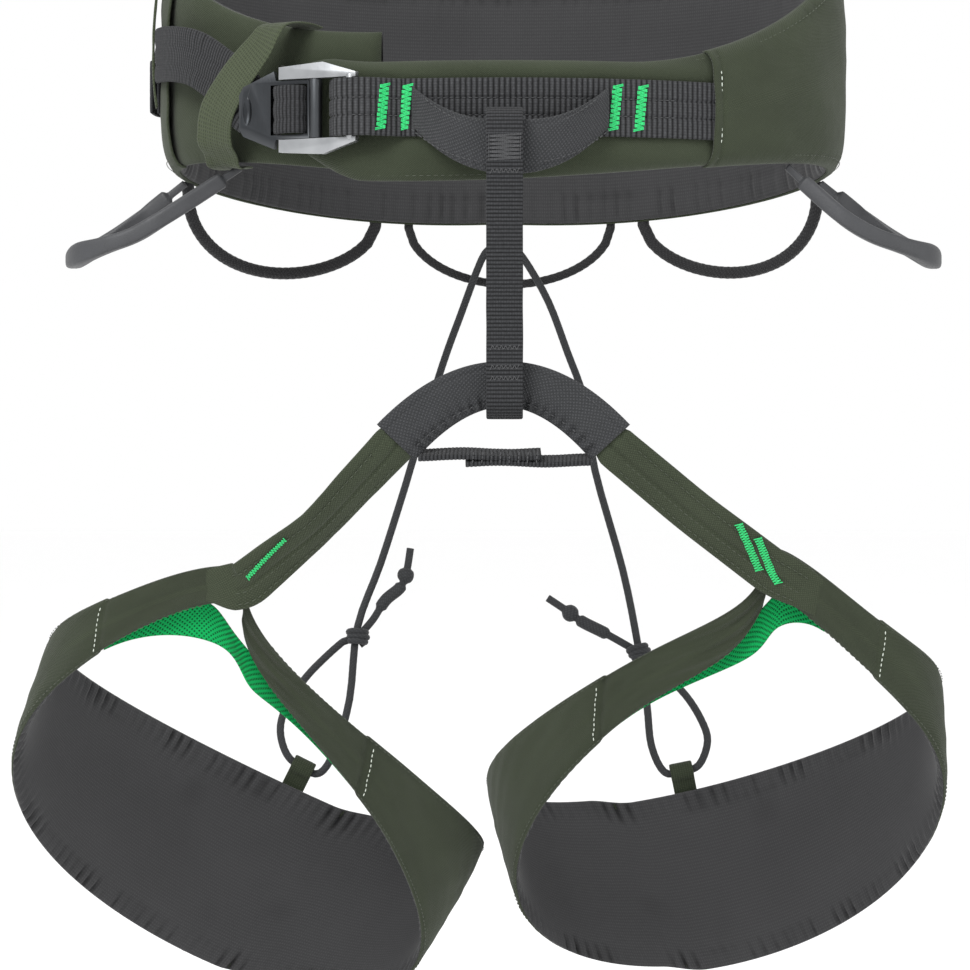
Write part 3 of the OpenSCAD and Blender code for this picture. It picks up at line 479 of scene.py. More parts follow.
# %% Green knitted mesh
def dotted(name, low, high, pitch):
    material, tree, shader = surface(name, 0.75, sheen=0.04, specular=0.12)
    cloth = add(tree, "ShaderNodeUVMap", uv_map="cloth")
    turned = add(tree, "ShaderNodeMapping", {"Vector": cloth.outputs[0], "Rotation": (0, 0, math.radians(45))})
    rows = add(tree, "ShaderNodeTexWave", {"Vector": turned.outputs[0], "Scale": period(pitch)}, bands_direction="X")
    columns = add(tree, "ShaderNodeTexWave", {"Vector": turned.outputs[0], "Scale": period(pitch)}, bands_direction="Y")
    hole = add(tree, "ShaderNodeMath", {0: rows.outputs["Fac"], 1: columns.outputs["Fac"]}, operation="MULTIPLY")
    solid = add(tree, "ShaderNodeMath", {0: 1.0, 1: hole.outputs[0]}, operation="SUBTRACT")
    colour = blend_colours(tree, solid.outputs[0], low, high)
    colour.color_ramp.elements[0].position = 0.25
    colour.color_ramp.elements[1].position = 0.6
    patch = add(tree, "ShaderNodeTexNoise", {"Vector": cloth.outputs[0], "Scale": 8.0})
    tint = add(tree, "ShaderNodeHueSaturation", {"Color": colour.outputs[0], "Value": 1.0})
    shade = add(tree, "ShaderNodeMapRange", {"Value": patch.outputs["Fac"], "To Min": 0.85, "To Max": 1.12})
    tree.links.new(shade.outputs[0], tint.inputs["Value"])
    tree.links.new(tint.outputs[0], shader.inputs["Base Color"])
    bump = add(tree, "ShaderNodeBump", {"Height": solid.outputs[0], "Distance": 0.0004})
    tree.links.new(bump.outputs[0], shader.inputs["Normal"])
    return material


green_mesh = dotted("green_knitted_mesh", "#013a1c", "#05934b", 1.5)

# %% [markdown]
# Thread is twisted polyester with a slight gloss. Its plies are finer than the picture shows,
# so a soft noise in Object coordinates stands for them.

# %% Threads
def thread(name, low, high):
    material, tree, shader = surface(name, 0.5, sheen=0.1, specular=0.4)
    place_in = add(tree, "ShaderNodeTexCoord")
    twist = add(tree, "ShaderNodeTexNoise", {"Vector": place_in.outputs["Object"], "Scale": 1400.0, "Detail": 2.0})
    tree.links.new(blend_colours(tree, twist.outputs["Fac"], low, high).outputs[0], shader.inputs["Base Color"])
    bump = add(tree, "ShaderNodeBump", {"Height": twist.outputs["Fac"], "Distance": 0.0001})
    tree.links.new(bump.outputs[0], shader.inputs["Normal"])
    return material


green_thread = thread("green_polyester_thread", "#0a8a45", "#2fdc80")
pale_thread = thread("pale_polyester_thread", "#8d978a", "#dfe5da")
olive_thread = thread("olive_polyester_thread", "#23281e", "#4a5240")
grey_thread = thread("grey_polyester_thread", "#1c1c1d", "#4b4c4e")

# %% [markdown]
# The buckle is aluminium. The bright frame is forged and tumbled, which leaves a soft satin
# with tiny scratches; the slotted plate is anodised dark, with its edges rubbed a little
# brighter. A metal keeps the default IOR.

# %% Metals
def metal(name, low, high, roughness, scratch_mm, edge=None):
    material, tree, shader = surface(name, roughness, metallic=1.0)
    place_in = add(tree, "ShaderNodeTexCoord")
    stretched = add(tree, "ShaderNodeMapping", {"Vector": place_in.outputs["Object"], "Scale": (1, 1, 0.35)})
    scratch = add(tree, "ShaderNodeTexNoise", {"Vector": stretched.outputs[0], "Scale": 1000 / scratch_mm,
                                              "Detail": 4.0})
    cloud = add(tree, "ShaderNodeTexNoise", {"Vector": place_in.outputs["Object"], "Scale": 90.0, "Detail": 2.0})
    colour = blend_colours(tree, cloud.outputs["Fac"], low, high)
    result = colour.outputs[0]
    if edge:
        rim = add(tree, "ShaderNodeNewGeometry")
        worn = add(tree, "ShaderNodeMapRange", {"Value": rim.outputs["Pointiness"], "From Min": 0.52,
                                                "From Max": 0.6, "To Max": 0.7})
        mixed = add(tree, "ShaderNodeMix", {0: worn.outputs[0], 6: result, 7: linear(edge)},
                    data_type="RGBA")
        result = mixed.outputs[2]
    tree.links.new(result, shader.inputs["Base Color"])
    gloss = add(tree, "ShaderNodeMapRange", {"Value": scratch.outputs["Fac"], "To Min": roughness - 0.07,
                                             "To Max": roughness + 0.1})
    tree.links.new(gloss.outputs[0], shader.inputs["Roughness"])
    bump = add(tree, "ShaderNodeBump", {"Height": scratch.outputs["Fac"], "Distance": 0.00004})
    tree.links.new(bump.outputs[0], shader.inputs["Normal"])
    return material


tumbled_aluminium = metal("tumbled_satin_aluminium", "#85878a", "#b4b6b8", 0.38, 0.9)
dark_anodised = metal("dark_anodised_aluminium", "#303234", "#3f4144", 0.4, 0.7, "#8b8e91")

# %% [markdown]
# The front gear loops are soft-touch polyurethane tube, moulded with a fine spark-eroded grain.

# %% Moulded grey
def moulded(name, low, high, grain_mm):
    material, tree, shader = surface(name, 0.48, specular=0.45)
    place_in = add(tree, "ShaderNodeTexCoord")
    grain = add(tree, "ShaderNodeTexNoise", {"Vector": place_in.outputs["Object"], "Scale": 1000 / grain_mm,
                                            "Detail": 3.0})
    cloud = add(tree, "ShaderNodeTexNoise", {"Vector": place_in.outputs["Object"], "Scale": 60.0})
    tree.links.new(blend_colours(tree, cloud.outputs["Fac"], low, high).outputs[0], shader.inputs["Base Color"])
    gloss = add(tree, "ShaderNodeMapRange", {"Value": grain.outputs["Fac"], "To Min": 0.4, "To Max": 0.58})
    tree.links.new(gloss.outputs[0], shader.inputs["Roughness"])
    bump = add(tree, "ShaderNodeBump", {"Height": grain.outputs["Fac"], "Distance": 0.00012})
    tree.links.new(bump.outputs[0], shader.inputs["Normal"])
    return material


moulded_grey = moulded("moulded_grey_polyurethane", "#2a2b2d", "#3e3f42", 0.8)
print("finishes:", len(bpy.data.materials))

# %% [markdown]
# ## Stitches with Geometry Nodes
# A seam is a line of short raised stitches. The tree takes a mesh line that carries an `out`
# direction, spaces points along it at the stitch pitch, puts a low capsule on each, turned to
# the line and to the cloth, and realises them, because the export drops instances. One tree
# serves plain seams and bar tacks: a bar tack's line is simply a zigzag.

# %% The stitch tree
def stitch_tree():
    tree = bpy.data.node_groups.new("stitches", "GeometryNodeTree")
    face = tree.interface
    face.new_socket("Geometry", in_out="INPUT", socket_type="NodeSocketGeometry")
    names = {}
    for label, value in (("Pitch", 0.003), ("Length", 0.002), ("Width", 0.0005), ("Lift", 0.0002)):
        socket = face.new_socket(label, in_out="INPUT", socket_type="NodeSocketFloat")
        socket.default_value = value
        names[label] = socket.identifier
    socket = face.new_socket("Thread", in_out="INPUT", socket_type="NodeSocketMaterial")
    names["Thread"] = socket.identifier
    face.new_socket("Geometry", in_out="OUTPUT", socket_type="NodeSocketGeometry")
    given = add(tree, "NodeGroupInput")
    line = add(tree, "GeometryNodeMeshToCurve", {"Mesh": given.outputs["Geometry"]})
    spaced = add(tree, "GeometryNodeResampleCurve", {"Curve": line.outputs[0], "Length": given.outputs["Pitch"]},
                 mode="LENGTH")
    out = add(tree, "GeometryNodeInputNamedAttribute", {"Name": "out"}, data_type="FLOAT_VECTOR")
    tangent = add(tree, "GeometryNodeInputTangent")
    along = add(tree, "FunctionNodeAlignRotationToVector", {"Vector": tangent.outputs[0]}, axis="X")
    turned = add(tree, "FunctionNodeAlignRotationToVector",
                 {"Rotation": along.outputs[0], "Vector": out.outputs["Attribute"]}, axis="Z", pivot_axis="X")
    ball = add(tree, "GeometryNodeMeshUVSphere", {"Segments": 8, "Rings": 5, "Radius": 0.5})
    size = add(tree, "ShaderNodeCombineXYZ", {"X": given.outputs["Length"], "Y": given.outputs["Width"],
                                             "Z": given.outputs["Width"]})
    shaped = add(tree, "GeometryNodeTransform", {"Geometry": ball.outputs["Mesh"], "Scale": size.outputs[0]})
    stitches = add(tree, "GeometryNodeInstanceOnPoints", {
        "Points": spaced.outputs[0], "Instance": shaped.outputs[0], "Rotation": turned.outputs[0]})
    lifted = add(tree, "ShaderNodeVectorMath", {0: out.outputs["Attribute"], "Scale": given.outputs["Lift"]},
                 operation="SCALE")
    raised = add(tree, "GeometryNodeTranslateInstances", {
        "Instances": stitches.outputs[0], "Translation": lifted.outputs[0]})
    raised.inputs["Local Space"].default_value = False
    solid = add(tree, "GeometryNodeRealizeInstances", {"Geometry": raised.outputs[0]})
    soft = add(tree, "GeometryNodeSetShadeSmooth", {"Geometry": solid.outputs[0]})
    dyed = add(tree, "GeometryNodeSetMaterial", {"Geometry": soft.outputs[0], "Material": given.outputs["Thread"]})
    add(tree, "NodeGroupOutput", {"Geometry": dyed.outputs[0]})
    return tree, names


stitches_tree, stitch_inputs = stitch_tree()


def sew(name, lines, body, slot, material, pitch=3.0, length=2.2, width=0.55, lift=0.15, stands_for=()):
    """Stitches along lines, each (points in millimetres, outward directions)."""
    verts, edges, outs = [], [], []
    for points, out in lines:
        start = len(verts)
        verts += (np.asarray(points, float) / 1000).tolist()
        outs += np.broadcast_to(unit(out), np.shape(points)).tolist()
        edges += [(start + i, start + i + 1) for i in range(len(points) - 1)]
    mesh = bpy.data.meshes.new(name + "_line")
    mesh.from_pydata(verts, edges, [])
    mesh.attributes.new("out", "FLOAT_VECTOR", "POINT").data.foreach_set("vector", np.ravel(outs))
    line = bpy.data.objects.new(name + "_line", mesh)
    bpy.context.scene.collection.objects.link(line)
    modifier = line.modifiers.new("stitches", "NODES")
    modifier.node_group = stitches_tree
    for label, value in (("Pitch", pitch / 1000), ("Length", length / 1000), ("Width", width / 1000),
                         ("Lift", lift / 1000), ("Thread", material)):
        modifier[stitch_inputs[label]] = value
    bpy.context.view_layer.update()
    made = bpy.data.meshes.new_from_object(line.evaluated_get(bpy.context.evaluated_depsgraph_get()))
    bpy.data.objects.remove(line)
    obj = bpy.data.objects.new(name, made)
    made.name = name
    bpy.context.scene.collection.objects.link(obj)
    return place(obj, body, slot, None, *stands_for)


def zigzag(centre, along, across, half_long, half_wide, pitch, out, lift=0.0):
    """The line of a bar tack: thread laid to and fro across a row."""
    n = max(2, int(round(2 * half_long / pitch * 2)))
    steps = np.linspace(-half_long, half_long, n)
    side = np.where(np.arange(n) % 2 == 0, -half_wide, half_wide)
    return (np.asarray(centre) + unit(out) * lift + np.outer(steps, unit(along)) + np.outer(side, unit(across)),
            np.tile(unit(out), (n, 1)))


print("stitch inputs:", stitch_inputs)

# %% [markdown]
# ## Cords
# The elastic risers hold the leg loops up at the back. Each leaves the anchor under the belt,
# passes through a leg loop's tab and is tied back to itself. Their routes repeat the CAD
# points. A cord is a round sheath along one smooth line.

# %% Places on the leg loops
LEGS = {
    "left": dict(side=-1, centre=(-118, 114, -165), reach=100, tilt=0.47, lean=-0.24, drop=(12, 73, -47),
                 outer=(44, 1.5), inner=(32, 0.6), width=(17, 93), front=(0.1, -0.3, 1), back=(0.74, -0.16, 1),
                 growth=1.15, lag=-10, end=(-109, 36, -69), hollow=(1.5, 57)),
    "right": dict(side=1, centre=(96, 114, -162), reach=95, tilt=0.18, lean=-0.13, drop=(-18, 72, -50),
                  outer=(28, 1.46), inner=(39, 0.68), width=(21, 84), front=(0.15, -0.3, 1), back=(-0.45, -0.03, 1),
                  growth=1.07, lag=-2, end=(111.5, 36, -63), hollow=(-9.5, 17)),
}


def leg_pt(g, a):
    a = np.asarray(a, float)
    r = np.radians(a)
    u = unit([g["side"], g["lean"], g["tilt"]])
    c, v, j = (np.array(g[k], float) for k in ("centre", "drop", "end"))
    e = c + g["reach"] * np.sin(np.radians(a + g["lag"] * np.sin(r)))[..., None] * u - np.cos(r)[..., None] * v
    pull = np.where(a >= 0, np.exp(-(np.abs(a) / g["outer"][0]) ** g["outer"][1]),
                    np.exp(-(np.abs(a) / g["inner"][0]) ** g["inner"][1]) * smooth(180, 167, np.abs(a)))
    dip = g["hollow"][0] * np.exp(-((a + g["hollow"][1]) / 12.6) ** 2)
    return TIE + e + pull[..., None] * (j - c + v) - dip[..., None] * u


def leg_half(g, a):
    v = (1 - np.cos(np.radians(a))) / 2
    return (g["width"][0] + (g["width"][1] - g["width"][0]) * v ** g["growth"]) / 2


def leg_w(g, a):
    v = ((1 - np.cos(np.radians(a))) / 2)[..., None]
    return unit((1 - v) * np.array(g["front"]) + v * np.array(g["back"]))


def leg_n(g, a):
    t = unit(leg_pt(g, a + 0.5) - leg_pt(g, a - 0.5))
    return g["side"] * unit(np.cross(t, leg_w(g, a)))


TABS = {"left": (171.0, 0.5), "right": (167.0, -0.2)}
ANCHOR = np.array([0, MID_B + 3, float(belt_low(180.0)) - 11.5])


def tab_eye(side):
    g, (a, lean) = LEGS[side], TABS[side]
    a = np.array(a)
    return leg_pt(g, a) + leg_w(g, a) * leg_half(g, a) + leg_n(g, a) * 5.6 + unit([lean, 0, 1]) * 9


HOMES = {"left": np.array([-96, 58, -283.0]), "right": np.array([84, 58, -288.0])}


def follow(points, side):
    p = np.asarray(points, float)
    home, eye = HOMES[side], tab_eye(side)
    f = np.clip((p[:, 2:] - home[2]) / (-42 - home[2]), 0, 1)
    return p + (ANCHOR - [0, 104, -42]) * f + (eye - home) * (1 - f)


RISER_POINTS = {
    "left": [(-0.4, 104, -42), (-5, 103.8, -42.3), (-10, 101.6, -48.5), (-20, 99, -74), (-29, 94, -98),
             (-43, 86, -141), (-48, 83, -157), (-59, 77, -190), (-70, 72, -219), (-74, 65, -252), (-81, 60, -275),
             (-88, 58, -285.5), (-96, 58, -283), (-103, 58, -277), (-106, 60, -266), (-103, 63, -255),
             (-94, 66, -242), (-84, 69, -232), (-77, 71, -226)],
    "right": [(0.4, 104, -42), (5, 103.8, -42.3), (11, 101.6, -48.5), (22, 99, -68), (31, 95, -92),
              (39, 91, -115), (44, 85, -148), (57, 76, -195), (64, 70, -230), (68, 64, -257), (70, 60, -276),
              (76, 58, -288.3), (84, 58, -288), (92, 58, -285), (96, 60, -274), (93, 63, -264), (86, 66, -253),
              (76, 69, -243), (70, 71, -237)],
}
TAIL_POINTS = {
    "left": [(-63, 73, -216), (-57, 74, -207), (-50, 75, -201), (-47, 76, -194), (-45, 77, -183)],
    "right": [(57, 71, -229), (48, 72, -224), (38, 73, -219), (31, 74, -214), (22, 75, -208)],
}
RISER_D = 3.5
risers = {side: curve(follow(RISER_POINTS[side], side), 4) for side in LEGS}
print("riser lengths", {k: round(float(length_along(v)[-1])) for k, v in risers.items()}, "mm")

# %% Risers, knots and tails
def braid(depth, lay, strands=8):
    return lambda s, a: depth * np.cos(strands * a + 2 * math.pi * s / lay) * np.cos(strands * a - 2 * math.pi * s / lay)


hitch_at = {side: (risers[side][31] + risers[side][34]) / 2 for side in LEGS}
riser_pieces = {}
for side in LEGS:
    risers[side] = np.vstack([risers[side], (risers[side][-1] + hitch_at[side]) / 2, hitch_at[side] + [0, 1.5, 0]])
    riser = rod("riser_" + side, risers[side], RISER_D / 2, sides=14, step=0.9, relief=braid(0.05, 6, 4))
    place(riser, "risers", "riser_cord", riser_rubber, "riser_" + side)
    riser_pieces[side] = [riser]


def wrapped_knot(name, side):
    """A hitch: the cord's end lies round the standing part in two turns and tucks under."""
    p, q = risers[side][31], risers[side][34]
    axis, middle = unit(q - p), (p + q) / 2
    x = square_to(np.array([1.0, 0, 0]), axis)
    y = np.cross(axis, x)
    t = np.linspace(0, 1, 70)
    turn = 2 * math.pi * (2.4 * t)
    rise = (t - 0.5) * 5.4
    r = 3.4 + 0.9 * np.sin(math.pi * t) + 0.5 * np.sin(turn * 0.5)
    line = middle + rise[:, None] * axis + r[:, None] * (np.cos(turn)[:, None] * x + np.sin(turn)[:, None] * y)
    cross_over = middle + np.outer(np.linspace(-4.6, 4.6, 12), unit(axis * 0.9 + x)) - y * 3.6
    return line, cross_over


for side in LEGS:
    line, over = wrapped_knot("hitch", side)
    knot = rod("hitch_" + side, line, RISER_D * 0.42, sides=12, step=0.5, relief=braid(0.05, 6, 4))
    place(knot, "risers", "riser_cord", riser_rubber, "hitch_" + side)
    riser_pieces[side].append(knot)
    bar = rod("hitch_tuck_" + side, over, RISER_D * 0.42, sides=12, step=0.5)
    place(bar, "risers", "riser_cord", riser_rubber)
    riser_pieces[side].append(bar)

for side in LEGS:
    c = curve(np.vstack([hitch_at[side] + [0, 1.0, 0], follow(TAIL_POINTS[side], side)]), 12)
    f = length_along(c) / length_along(c)[-1]
    f = np.clip((f - 0.14) / 0.86, 0, 1)
    ball = np.sqrt(np.clip(1 - ((f - 0.70) / 0.075) ** 2, 0, 1))
    radius = RISER_D / 2 + 1.1 * smooth(0.22, 0.25, f) * (1 - smooth(0.57, 0.6, f)) + 2.2 * ball
    end = rod("tail_" + side, c, radius, sides=16, step=0.35)
    place(end, "risers", "riser_cord", riser_rubber, "tail_" + side)
    riser, *knots = riser_pieces[side]

# %% [markdown]
# The two rear gear loops and the haul loop are cords in a braided sheath, hung from the hem.
# Each sags from one hem point to the next. The braid is real relief, eight strands each way.

# %% Sheathed gear loops
def hem_pt(a, v):
    w = float(wrap(np.array(a, float)))
    return belt_pt(w, float(belt_in(w)) + v, float(belt_low(w)) - 2.4)


def hanging(p, q, drop, out, n=40):
    t = np.linspace(0, 1, n)
    k = 4 * t * (1 - t)
    away = unit([(p + q)[0], (p + q)[1], 0])
    return p + np.outer(t, q - p) - np.outer(drop * k ** 0.55, [0, 0, 1]) + np.outer(out * k ** 0.8, away)


HUNG = {
    "side_gear_loop_left": (-104, -156, 29, 13, 5.5), "side_gear_loop_right": (104, 153, 29, 13, 5.5),
    "haul_loop": (159.5, 197.5, 26, 11, 4.0),
}
for name, (a0, a1, drop, out, d) in HUNG.items():
    line = hanging(hem_pt(a0, 3), hem_pt(a1, 3), drop, out)
    line = np.vstack([line[0] + [0, 0, 2.6], line, line[-1] + [0, 0, 2.6]])
    loop = rod(name, line, d / 2, sides=24, step=0.6, relief=braid(0.12, 7, 6))
    place(loop, name, "sheathed_cord", cord_sheath, name)
    print(name, round(float(length_along(line)[-1])), "mm of cord")

# %% [markdown]
# The front gear loops are stiff tubes moulded round a cord, with a flat side and a blunt
# wedge at the forward tip that keeps connectors at the front. The section is a rounded
# square that grows at the tip; thin cord shows at both ends.

# %% Moulded front gear loops
def moulded_points(s):
    p, q = hem_pt(s * 57.5, 1), hem_pt(s * 99, 1)
    return np.array([p, p * 0.55 + np.array([s * 144, -60, -40]) * 0.45, (s * 146, -61, -41), (s * 158, -60, -48),
                     (s * 170, -57, -52), (s * 181, -50, -55), (s * 187, -36, -57), (s * 187, -18, -56),
                     (s * 182, -2, -51), (s * 172, 12, -43), (s * 161, 18, -34),
                     q * 0.6 + np.array([s * 161, 18, -34]) * 0.4, q])


for side, s in (("left", -1), ("right", 1)):
    line = curve(moulded_points(s), 12)
    f = length_along(line) / length_along(line)[-1]
    ease, p, ff = even(line, 0.7, f)
    body = smooth(0.045, 0.055, ff) * (1 - smooth(0.945, 0.955, ff))
    tip = np.exp(-((ff - 0.44) / 0.06) ** 2)
    t = directions(p)
    up = square_to(np.tile([0.0, 0, 1], (len(p), 1)), t)
    side_way = np.cross(t, up)
    a = 2 * math.pi * (np.arange(24) + 0.5) / 24
    sx = np.sign(np.cos(a)) * np.abs(np.cos(a)) ** 0.55
    sy = np.sign(np.sin(a)) * np.abs(np.sin(a)) ** 0.55
    groove = 0.5 * np.exp(-(np.cos(a) / 0.22) ** 2) * (np.sin(a) > 0)
    tall = 1.6 + body * (1.9 + 1.3 * tip)
    wide = 1.6 + body * (1.5 + 0.6 * tip)
    y = sy[None] * tall[:, None] - groove[None] * body[:, None] * (1 - tip[:, None])
    rings = p[:, None] + up[:, None] * y[..., None] + side_way[:, None] * (sx[None] * wide[:, None])[..., None]
    tube = loft("front_gear_loop_" + side, rings, ease, np.linspace(0, 22, 25))
    place(tube, "front_gear_loop_" + side, "moulded_grey", moulded_grey, "front_gear_loop_" + side)

# %% [markdown]
# ## Waist padding
# The belt is a curved pad: an olive skin outside, a knitted liner inside and foam between,
# sewn together along both edges. Fabric sewn over foam is never flat: it rolls over the
# edges, puckers where the thread draws it in and ripples softly between. So each skin is
# lofted round the belt's ellipse with a crowned section, and those three effects are added
# in millimetres. The pad's foam is inside both skins and isn't seen.

# %% Stations round the belt
dense = np.linspace(OUTER_END, INNER_END, 1500)


def stations(a0, a1, step):
    a = np.linspace(a0, a1, 1500)
    s, _, ang = even(belt_pt(a, 0, 0), step, a)
    return s, ang


def crown(n, edge=0.6, top=0.7):
    t = np.linspace(0, math.pi, 2001)
    p = np.stack([-np.sign(np.cos(t)) * np.abs(np.cos(t)) ** edge, np.abs(np.sin(t)) ** top], 1)
    s = length_along(p * [1, 0.3])
    take = np.linspace(0, s[-1], n)
    return np.stack([np.interp(take, s, p[:, 0]), np.interp(take, s, p[:, 1])], 1)


def pucker(s, depth, pitch, which):
    """Gathers across an edge: sharp small folds, uneven in size."""
    phase = 2 * math.pi * s / pitch + 3.4 * ripple(s, 0 * s, 31, which)
    fold = (0.5 + 0.5 * np.cos(phase)) ** 2.2
    strength = 0.42 + 0.6 * ripple(s, 0 * s, 15, (which + 1) % 5) + 0.35 * ripple(s, 0 * s, 67, (which + 2) % 5)
    return depth * fold * np.clip(strength, 0.06, 1)


def belt_skin(name, a0, a1, side, edge_in, v_in, edge_out, v_out, relief, step=1.2, n=30, ends=(1, 1)):
    s, a = stations(a0, a1, step)
    mid, half = (belt_top(a) + belt_low(a)) / 2, (belt_top(a) - belt_low(a)) / 2 - SKIN
    to_end = np.minimum(np.where(ends[0], s, 99), np.where(ends[1], s[-1] - s, 99))
    swell = np.sqrt(np.clip(1 - (1 - np.clip(to_end / 5, 0, 1)) ** 2, 0.05, 1))
    c = crown(n)
    walls, folds = [], []
    for edge, v, flip in ((edge_out, v_out, False), (edge_in, v_in, True)):
        x, y = c[:, 0], c[:, 1]
        z = mid[:, None] + x[None] * half[:, None] + np.sign(x)[None] * edge
        off = side * (0.05 + y[None] * v * swell[:, None])
        d = relief(s[:, None], z, x[None], a[:, None]) * np.minimum(1, y[None] * 1.6) * swell[:, None]
        off = off + side * (d if not flip else 0.85 * d)
        folds.append(d[:, ::-1] if flip else d)
        ring = belt_pt(a[:, None], belt_in(a)[:, None] + off, z)
        walls.append(ring[:, ::-1] if flip else ring)
    rings = np.concatenate(walls, 1)
    across = length_along(np.vstack([rings[len(a) // 2], rings[len(a) // 2][:1]]))
    # The fold depths go onto the mesh for the painted shade in the folds.
    return mark_fold_shade(loft(name, rings, s, across), np.concatenate(folds, 1))


def front_channel(z, a):
    """The webbing presses a channel into the front; rolls of padding stand above and below."""
    front = smooth(-44, -38, a) * (1 - smooth(36, 44, a))
    return front * (1.5 * np.exp(-((z - 18.3) / 3.6) ** 2) + 1.6 * np.exp(-((z + 19) / 6) ** 2)
                    - 0.9 * np.exp(-((z - 2) / 11.5) ** 8))


def shell_relief(s, z, x, a):
    return (front_channel(z, a) + 0.35 * ripple(s, z, 46, 0) + 0.18 * ripple(s, z, 17, 1)
            - 0.5 * np.exp(-((np.abs(x) - 0.93) / 0.03) ** 2)
            - pucker(s, 0.35, 6.5, 2) * np.exp(-((np.abs(x) - 1) / 0.12) ** 2))


def liner_relief(s, z, x, a):
    high = np.exp(-((1 - x) / 0.24) ** 2) + np.exp(-((1 + x) / 0.24) ** 2)
    return (0.5 * ripple(s, z, 52, 3) + 0.2 * ripple(s, z * 0.4, 12, 4)
            - pucker(s, 2.2, 6.6, 1) * high - 0.7 * np.exp(-((np.abs(x) - 0.8) / 0.02) ** 2))


foam_half = PAD / 2 - SKIN
shell = belt_skin("waist_shell", OUTER_END, INNER_END, 1, 0.1, foam_half + 0.1, SKIN, PAD / 2, shell_relief)
place(shell, "waist_belt", "olive_fabric", olive_twill, "waist_shell", "waist_foam")
liner = belt_skin("waist_liner", OUTER_END, INNER_END, -1, 0.1, foam_half + 0.1, SKIN, PAD / 2, liner_relief,
                  step=0.9, n=40)
place(liner, "waist_belt", "dark_liner", liner_knit, "waist_liner")

# %% [markdown]
# A second layer of the same twill covers the webbing from the front edge seam round the back
# to the other hip. It is stretched over the webbing underneath, so a soft step shows along
# the webbing's edges, and long shallow creases run from the corners of the seam.

# %% Cover over the webbing
COVER_START, COVER_END = 35.7, 281.0


def cover_relief(s, z, x, a):
    under = 0.5 * (smooth(-14, -9, z) - smooth(12, 17, z))
    start = np.exp(-s / 26)
    return (under * np.exp(-s / 90) + 0.55 * ripple(s, z, 58, 2) + 0.3 * ripple(s, z * 2.2, 30, 3)
            + 0.12 * ripple(s, z, 9, 0) - 1.1 * start * np.exp(-((s - 3.6) / 0.7) ** 2)
            + 0.35 * start * np.sin(z / 3.3 + 2 * ripple(s, z, 20, 4))
            - 0.5 * np.exp(-((np.abs(x) - 0.94) / 0.025) ** 2)
            - pucker(s, 0.5, 8, 3) * np.exp(-((np.abs(x) - 1) / 0.14) ** 2))


cover = belt_skin("waist_cover", COVER_START, COVER_END, 1, SKIN + 0.1, PAD / 2 + 3.2, SKIN + 0.9, COVER_OUT - 0.05,
                  cover_relief, step=1.0, n=34, ends=(0, 0))
place(cover, "waist_belt", "olive_fabric", olive_twill, "waist_cover")

# %% Seams of the waist padding
def on_cover(a, z_values, lift=0.0):
    pts = belt_pt(a, COVER_OUT + lift, z_values)
    return pts, np.tile(belt_normal(a), (len(z_values), 1))


edge_a = COVER_START + math.degrees(3.6 / np.linalg.norm(belt_pt(36.7, 0, 0) - belt_pt(35.7, 0, 0))) * math.radians(1)
z_line = np.linspace(float(belt_low(edge_a)) + 4, float(belt_top(edge_a)) - 4, 40)
bow = np.sqrt(np.clip(1 - (np.abs(np.linspace(-1, 1, 40)) ** 2.6), 0.02, 1))
seam_pts = belt_pt(edge_a, SKIN + (COVER_OUT - SKIN) * np.clip(bow * 1.25, 0, 1) - 1.1, z_line)
sew("cover_edge_stitches", [(seam_pts, np.tile(belt_normal(edge_a), (40, 1)))], "waist_belt", "pale_thread",
    pale_thread, pitch=2.6, length=1.9, width=0.5, lift=0.55)

hem_lines = []
for edge, sign in ((belt_top, 1), (belt_low, -1)):
    s, a = stations(-36, 35, 1.5)
    z = edge(a) - sign * 2.2
    hem_lines.append((belt_pt(a, PAD / 2 * 0.62, z), belt_normal(a) * 0.8 + np.array([0, 0, sign * 0.6])))
    s, a = stations(37, 280, 1.5)
    z = edge(a) - sign * 2.6
    hem_lines.append((belt_pt(a, COVER_OUT * 0.66, z), belt_normal(a) * 0.8 + np.array([0, 0, sign * 0.6])))
sew("waist_hem_stitches", hem_lines, "waist_belt", "olive_fabric", olive_thread, pitch=3.0, length=2.1, width=0.45,
    lift=0.1)

# %% [markdown]
# ## Waist webbing
# The structural webbing is 24 mm polyamide. Its cross ribs stand 2.3 mm apart, and two lines
# of lock stitch run along it, which pull it into three bands. Both are relief in the mesh.

# %% Where the buckle stands
BUCKLE_ANGLE = -34.0
BUCKLE_V = PAD / 2 + 0.4
buckle_at = belt_pt(BUCKLE_ANGLE, BUCKLE_V, WEB_Z + 0.2)
buckle_turn = math.atan2(math.sin(math.radians(BUCKLE_ANGLE)) / (MID_A + BUCKLE_V),
                         math.cos(math.radians(BUCKLE_ANGLE)) / (MID_B + BUCKLE_V))


def at_buckle(x, y, z=WEB_Z):
    c, s = math.cos(buckle_turn), math.sin(buckle_turn)
    return np.array([buckle_at[0] + x * c - y * s, buckle_at[1] + x * s + y * c, z])


BAR_X, FRAME_Y, BAR_D, PIN_X, PIN_Y, PLATE_HALF = 24.5, -5.2, 4.4, 7.5, -5.8, 12.3
bar_front = FRAME_Y - 1.4 - BAR_D / 2 - 0.4 - WEB_T / 2
web_v = PAD / 2 + 0.25 + WEB_T / 2
web_line = np.vstack([
    curve([at_buckle(14, -3.6), at_buckle(16.4, -6.2), at_buckle(20, bar_front + 0.5), at_buckle(BAR_X, bar_front),
           at_buckle(29, bar_front + 0.8), at_buckle(33, bar_front + 3)], 3),
    belt_pt(np.arange(-16.5, 44.01, 3.025), web_v, WEB_Z)])


